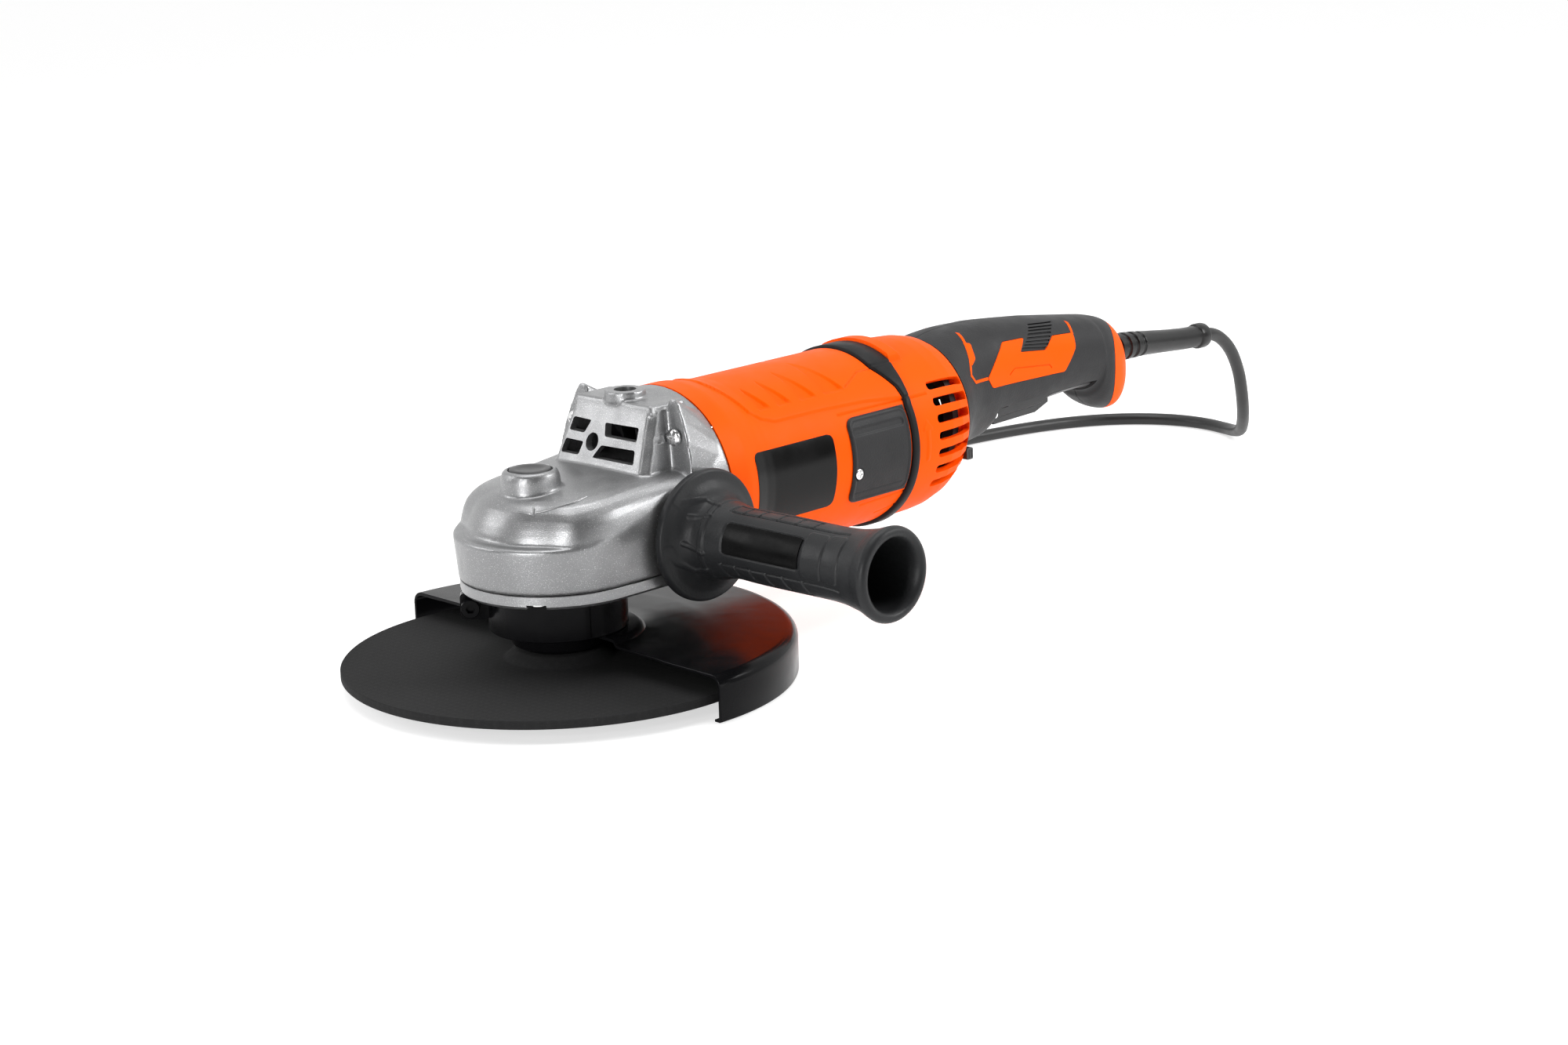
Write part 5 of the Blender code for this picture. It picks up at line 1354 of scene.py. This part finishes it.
def make_swivel_button():
    low, high = span("swivel_button")
    outline = rounded(box_outline(low.x, high.x, low.z, high.z), 1.2)
    button = prism("swivel_release", outline, low.y, high.y, "Y")
    grooves = []
    for x in (low.x + 1.6, low.x + 3.6, low.x + 5.6):
        grooves.append(block("groove", (x, low.y - 1, low.z + 1), (x + 0.6, low.y + 0.4, high.z - 1)))
    cut(button, gather(*grooves))
    show(bevel(button, 0.3), "swivel_button", "black_plastic", "swivel_button", sharp=30)


def make_lever():
    front, rear = LEVER_SPAN
    lever = loft("trigger_paddle", handle_rings(-1.2))
    side = ((front, 60), (rear, 60), (rear, 84.5), (350, 85.5), (338, 85), (front, 84))
    keep(lever, prism("zone", side, -15.5, 15.5, "Y"))
    belly = prism("belly", ((334, 74), (372, 74.7), (384, 79), (384, 82), (334, 82)), -13.5, 13.5, "Y")
    join(lever, belly)
    cut(lever, rod("pin_hole", "Y", (PIVOT.x, 0, PIVOT.z), 2.3, -30, 30, 32))
    cut(lever, block("notch", (front - 1, -30, 83), (345, 30, 90)))
    show(bevel(lever, 0.5), "trigger", "black_plastic", "trigger_lever", sharp=35)


BOOT_PROFILE = (  # share of the boot's length, and radius
    (0.0, 8.8), (0.055, 8.8), (0.062, 7.4), (0.088, 7.4), (0.095, 8.6), (0.138, 8.5), (0.145, 7.2),
    (0.172, 7.2), (0.18, 8.3), (0.222, 8.2), (0.23, 7.1), (0.256, 7.1), (0.264, 7.9), (0.30, 7.7),
    (0.45, 7.3), (0.6, 7.0), (0.75, 6.85), (0.9, 6.85), (0.905, 7.6), (0.92, 8.0), (0.98, 8.0),
    (0.995, 7.6), (1.0, 7.0),
)


def make_boot():
    """The strain relief, which droops a little and ends square to X."""
    rings = []
    for t, radius in BOOT_PROFILE:
        spot = BOOT_START.lerp(BOOT_END, t)
        spot.z = BOOT_START.z + (BOOT_END.z - BOOT_START.z) * ease(t)
        rings.append(circle("X", radius, 0, spot, 64))
    boot = loft("strain_relief", rings)
    show(bevel(boot, 0.25, 2, 40), "rear_handle", "rubber", "cord_boot", sharp=30, look="boot_rubber")


# ---------------------------------------------------------------- mains lead

CORD_ROUTE = (  # in metres, from the strain relief down to the floor and back beside the tool
    (0.5552, 0, 0.0904), (0.562, 0, 0.0896), (0.570, 0.0003, 0.0866), (0.578, 0.0008, 0.0814),
    (0.5855, 0.0016, 0.0744), (0.5923, 0.003, 0.066), (0.5988, 0.005, 0.0566), (0.6052, 0.008, 0.046),
    (0.6122, 0.012, 0.035), (0.6202, 0.0175, 0.0244), (0.6296, 0.025, 0.0152), (0.640, 0.0345, 0.0082),
    (0.650, 0.0465, 0.004), (0.658, 0.061, 0.0023), (0.662, 0.078, 0.002), (0.661, 0.096, 0.002),
    (0.655, 0.114, 0.002), (0.644, 0.131, 0.002), (0.6285, 0.146, 0.002), (0.6085, 0.1585, 0.002),
    (0.585, 0.168, 0.002), (0.558, 0.1755, 0.002), (0.525, 0.1815, 0.002), (0.490, 0.1855, 0.002),
    (0.450, 0.1875, 0.002), (0.410, 0.1875, 0.002), (0.370, 0.186, 0.002), (0.330, 0.183, 0.002),
    (0.295, 0.1796, 0.002), (0.265, 0.1767, 0.002), (0.2454, 0.1744, 0.002),
)
COIL_STATIONS = (  # turns wound so far, radius and height of the cord's centre in mm
    (0.0, 48, 2), (0.75, 48, 2), (0.97, 40, 2), (1.66, 40, 2), (1.88, 40, 10), (2.5, 40, 10), (2.72, 48, 10),
    (3.3, 48, 10), (3.52, 45, 17.3), (4.0, 45, 17.3),
)
PER_TURN = 28


def coil_points():
    found = []
    for j in range(4 * PER_TURN + 1):
        t = j / PER_TURN
        i = min(max(k for k, station in enumerate(COIL_STATIONS) if station[0] <= t), len(COIL_STATIONS) - 2)
        (t0, r0, z0), (t1, r1, z1) = COIL_STATIONS[i:i + 2]
        share = ease((t - t0) / (t1 - t0))
        radius, height = r0 + (r1 - r0) * share, z0 + (z1 - z0) * share
        found.append(place("Z", radius, 90 + 360 * t, height, (COIL.x, COIL.y, 0)))
    return found


def make_lead():
    """One cord from the strain relief down to the floor, into a tied coil and out to the plug."""
    free = through([Vector(p) / MM for p in CORD_ROUTE], 5)
    tail_y = COIL.y + 48
    tail = (
        (COIL.x, COIL.y + 45, 17.3), (COIL.x - 10, COIL.y + 46, 16.5), (COIL.x - 21, tail_y - 0.5, 13.9),
        (COIL.x - 30, tail_y, 12.2), (COIL.x - 38, tail_y, 12.8),
    )
    points = [(BOOT_END.x - 6, 0, BOOT_END.z)] + free + coil_points() + through(tail, 4)[1:]
    lead = wire("mains_cord", points, CORD_RADIUS, "cord")
    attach(lead, "housing")
    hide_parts("cord_tube", "cord_coil")
    plug = make_plug()
    tie = make_tie()


PLUG_PROFILE = (  # run from the lead's end, height, half height and half width
    (0, 12.0, 5.0, 5.0), (2, 12.1, 5.4, 5.4), (12, 13.0, 5.9, 5.9), (30, 15.5, 6.8, 6.8),
    (34, 15.8, 8.0, 9.5), (38, 16, 11.0, 14.0), (46, 16, 15.5, 17.0), (58, 16, 17.6, 17.8),
    (70, 16, 17.6, 17.8), (76.4, 16, 17.2, 17.4), (78, 16, 16.0, 16.2),
)


def make_plug():
    """A moulded two-pin plug that lies beside the coil."""
    y, start = middle("mains_plug").y, span("mains_plug")[1].x
    rings = []
    for run, z, half_height, half_width in through(PLUG_PROFILE, 4):
        ring = [(start - run, y + half_width * math.cos(a), z + half_height * math.sin(a))
                for a in (2 * math.pi * j / 64 for j in range(64))]
        rings.append(ring)
    plug = loft("plug_body", rings)
    for side in (-9.5, 9.5):
        pin = ((0, start - 74), (2.4, start - 74), (2.4, start - 96), (1.6, start - 97), (0, start - 97))
        join(plug, turned("pin", "X", (0, y + side, 16), pin, 32))
    return show(plug, "housing", "black_plastic", "mains_plug", sharp=40)


def make_tie():
    """A strap round the coil's far side."""
    outline = rounded(box_outline(34.9, 53.1, -1.9, 15.1), 3.4)
    hole = rounded(box_outline(35.9, 52.1, -1.4, 14.1), 2.8)
    tie = prism("cord_tie", outline, -2.4, 2.4, "Y")
    cut(tie, prism("hole", hole, -4, 4, "Y"))
    turn_about_z(tie, 144)
    tie.data.transform(Matrix.Translation((COIL.x * MM, COIL.y * MM, 0)))
    return show(tie, "housing", "black_plastic")


# ---------------------------------------------------------------- inside


def dress_inside():
    """Finishes for the CAD nodes that show as they are: bearings, gears, windings and the switch."""
    looks = {
        "ring_gear": "steel", "pinion_gear": "steel", "spindle_bearing": "bright_steel",
        "front_bearing": "bright_steel", "rear_bearing": "bright_steel", "spindle_bush": "brass",
        "lock_spring": "bright_steel", "lever_spring": "bright_steel", "lever_pin": "bright_steel",
        "armature_shaft": "bright_steel", "armature_core": "steel", "stator_core": "steel",
        "armature_coil_front": "copper", "armature_coil_rear": "copper", "commutator": "copper",
        "field_coil_upper": "copper", "field_coil_lower": "copper", "cooling_fan": "dark_plastic",
        "brush_holder_left": "brass", "brush_holder_right": "brass", "carbon_brush_left": "carbon",
        "carbon_brush_right": "carbon", "switch": "black_plastic", "cord_clamp": "black_plastic",
    }
    for node, look in looks.items():
        dress(frame["nodes"][node], LOOKS[look])


def main():
    make_camera()
    make_stage()
    make_lead()
    make_wheel()
    make_flange_and_nut()
    make_spindle()
    make_head()
    make_bearing_plate()
    make_head_screws()
    make_lock()
    make_guard()
    make_collar()
    make_motor_housing()
    make_label()
    make_brush_covers()
    make_band()
    make_end_cap()
    make_side_handle()
    make_handle()
    make_swivel_button()
    make_lever()
    make_boot()
    dress_inside()


LOOKS = make_looks()
main()
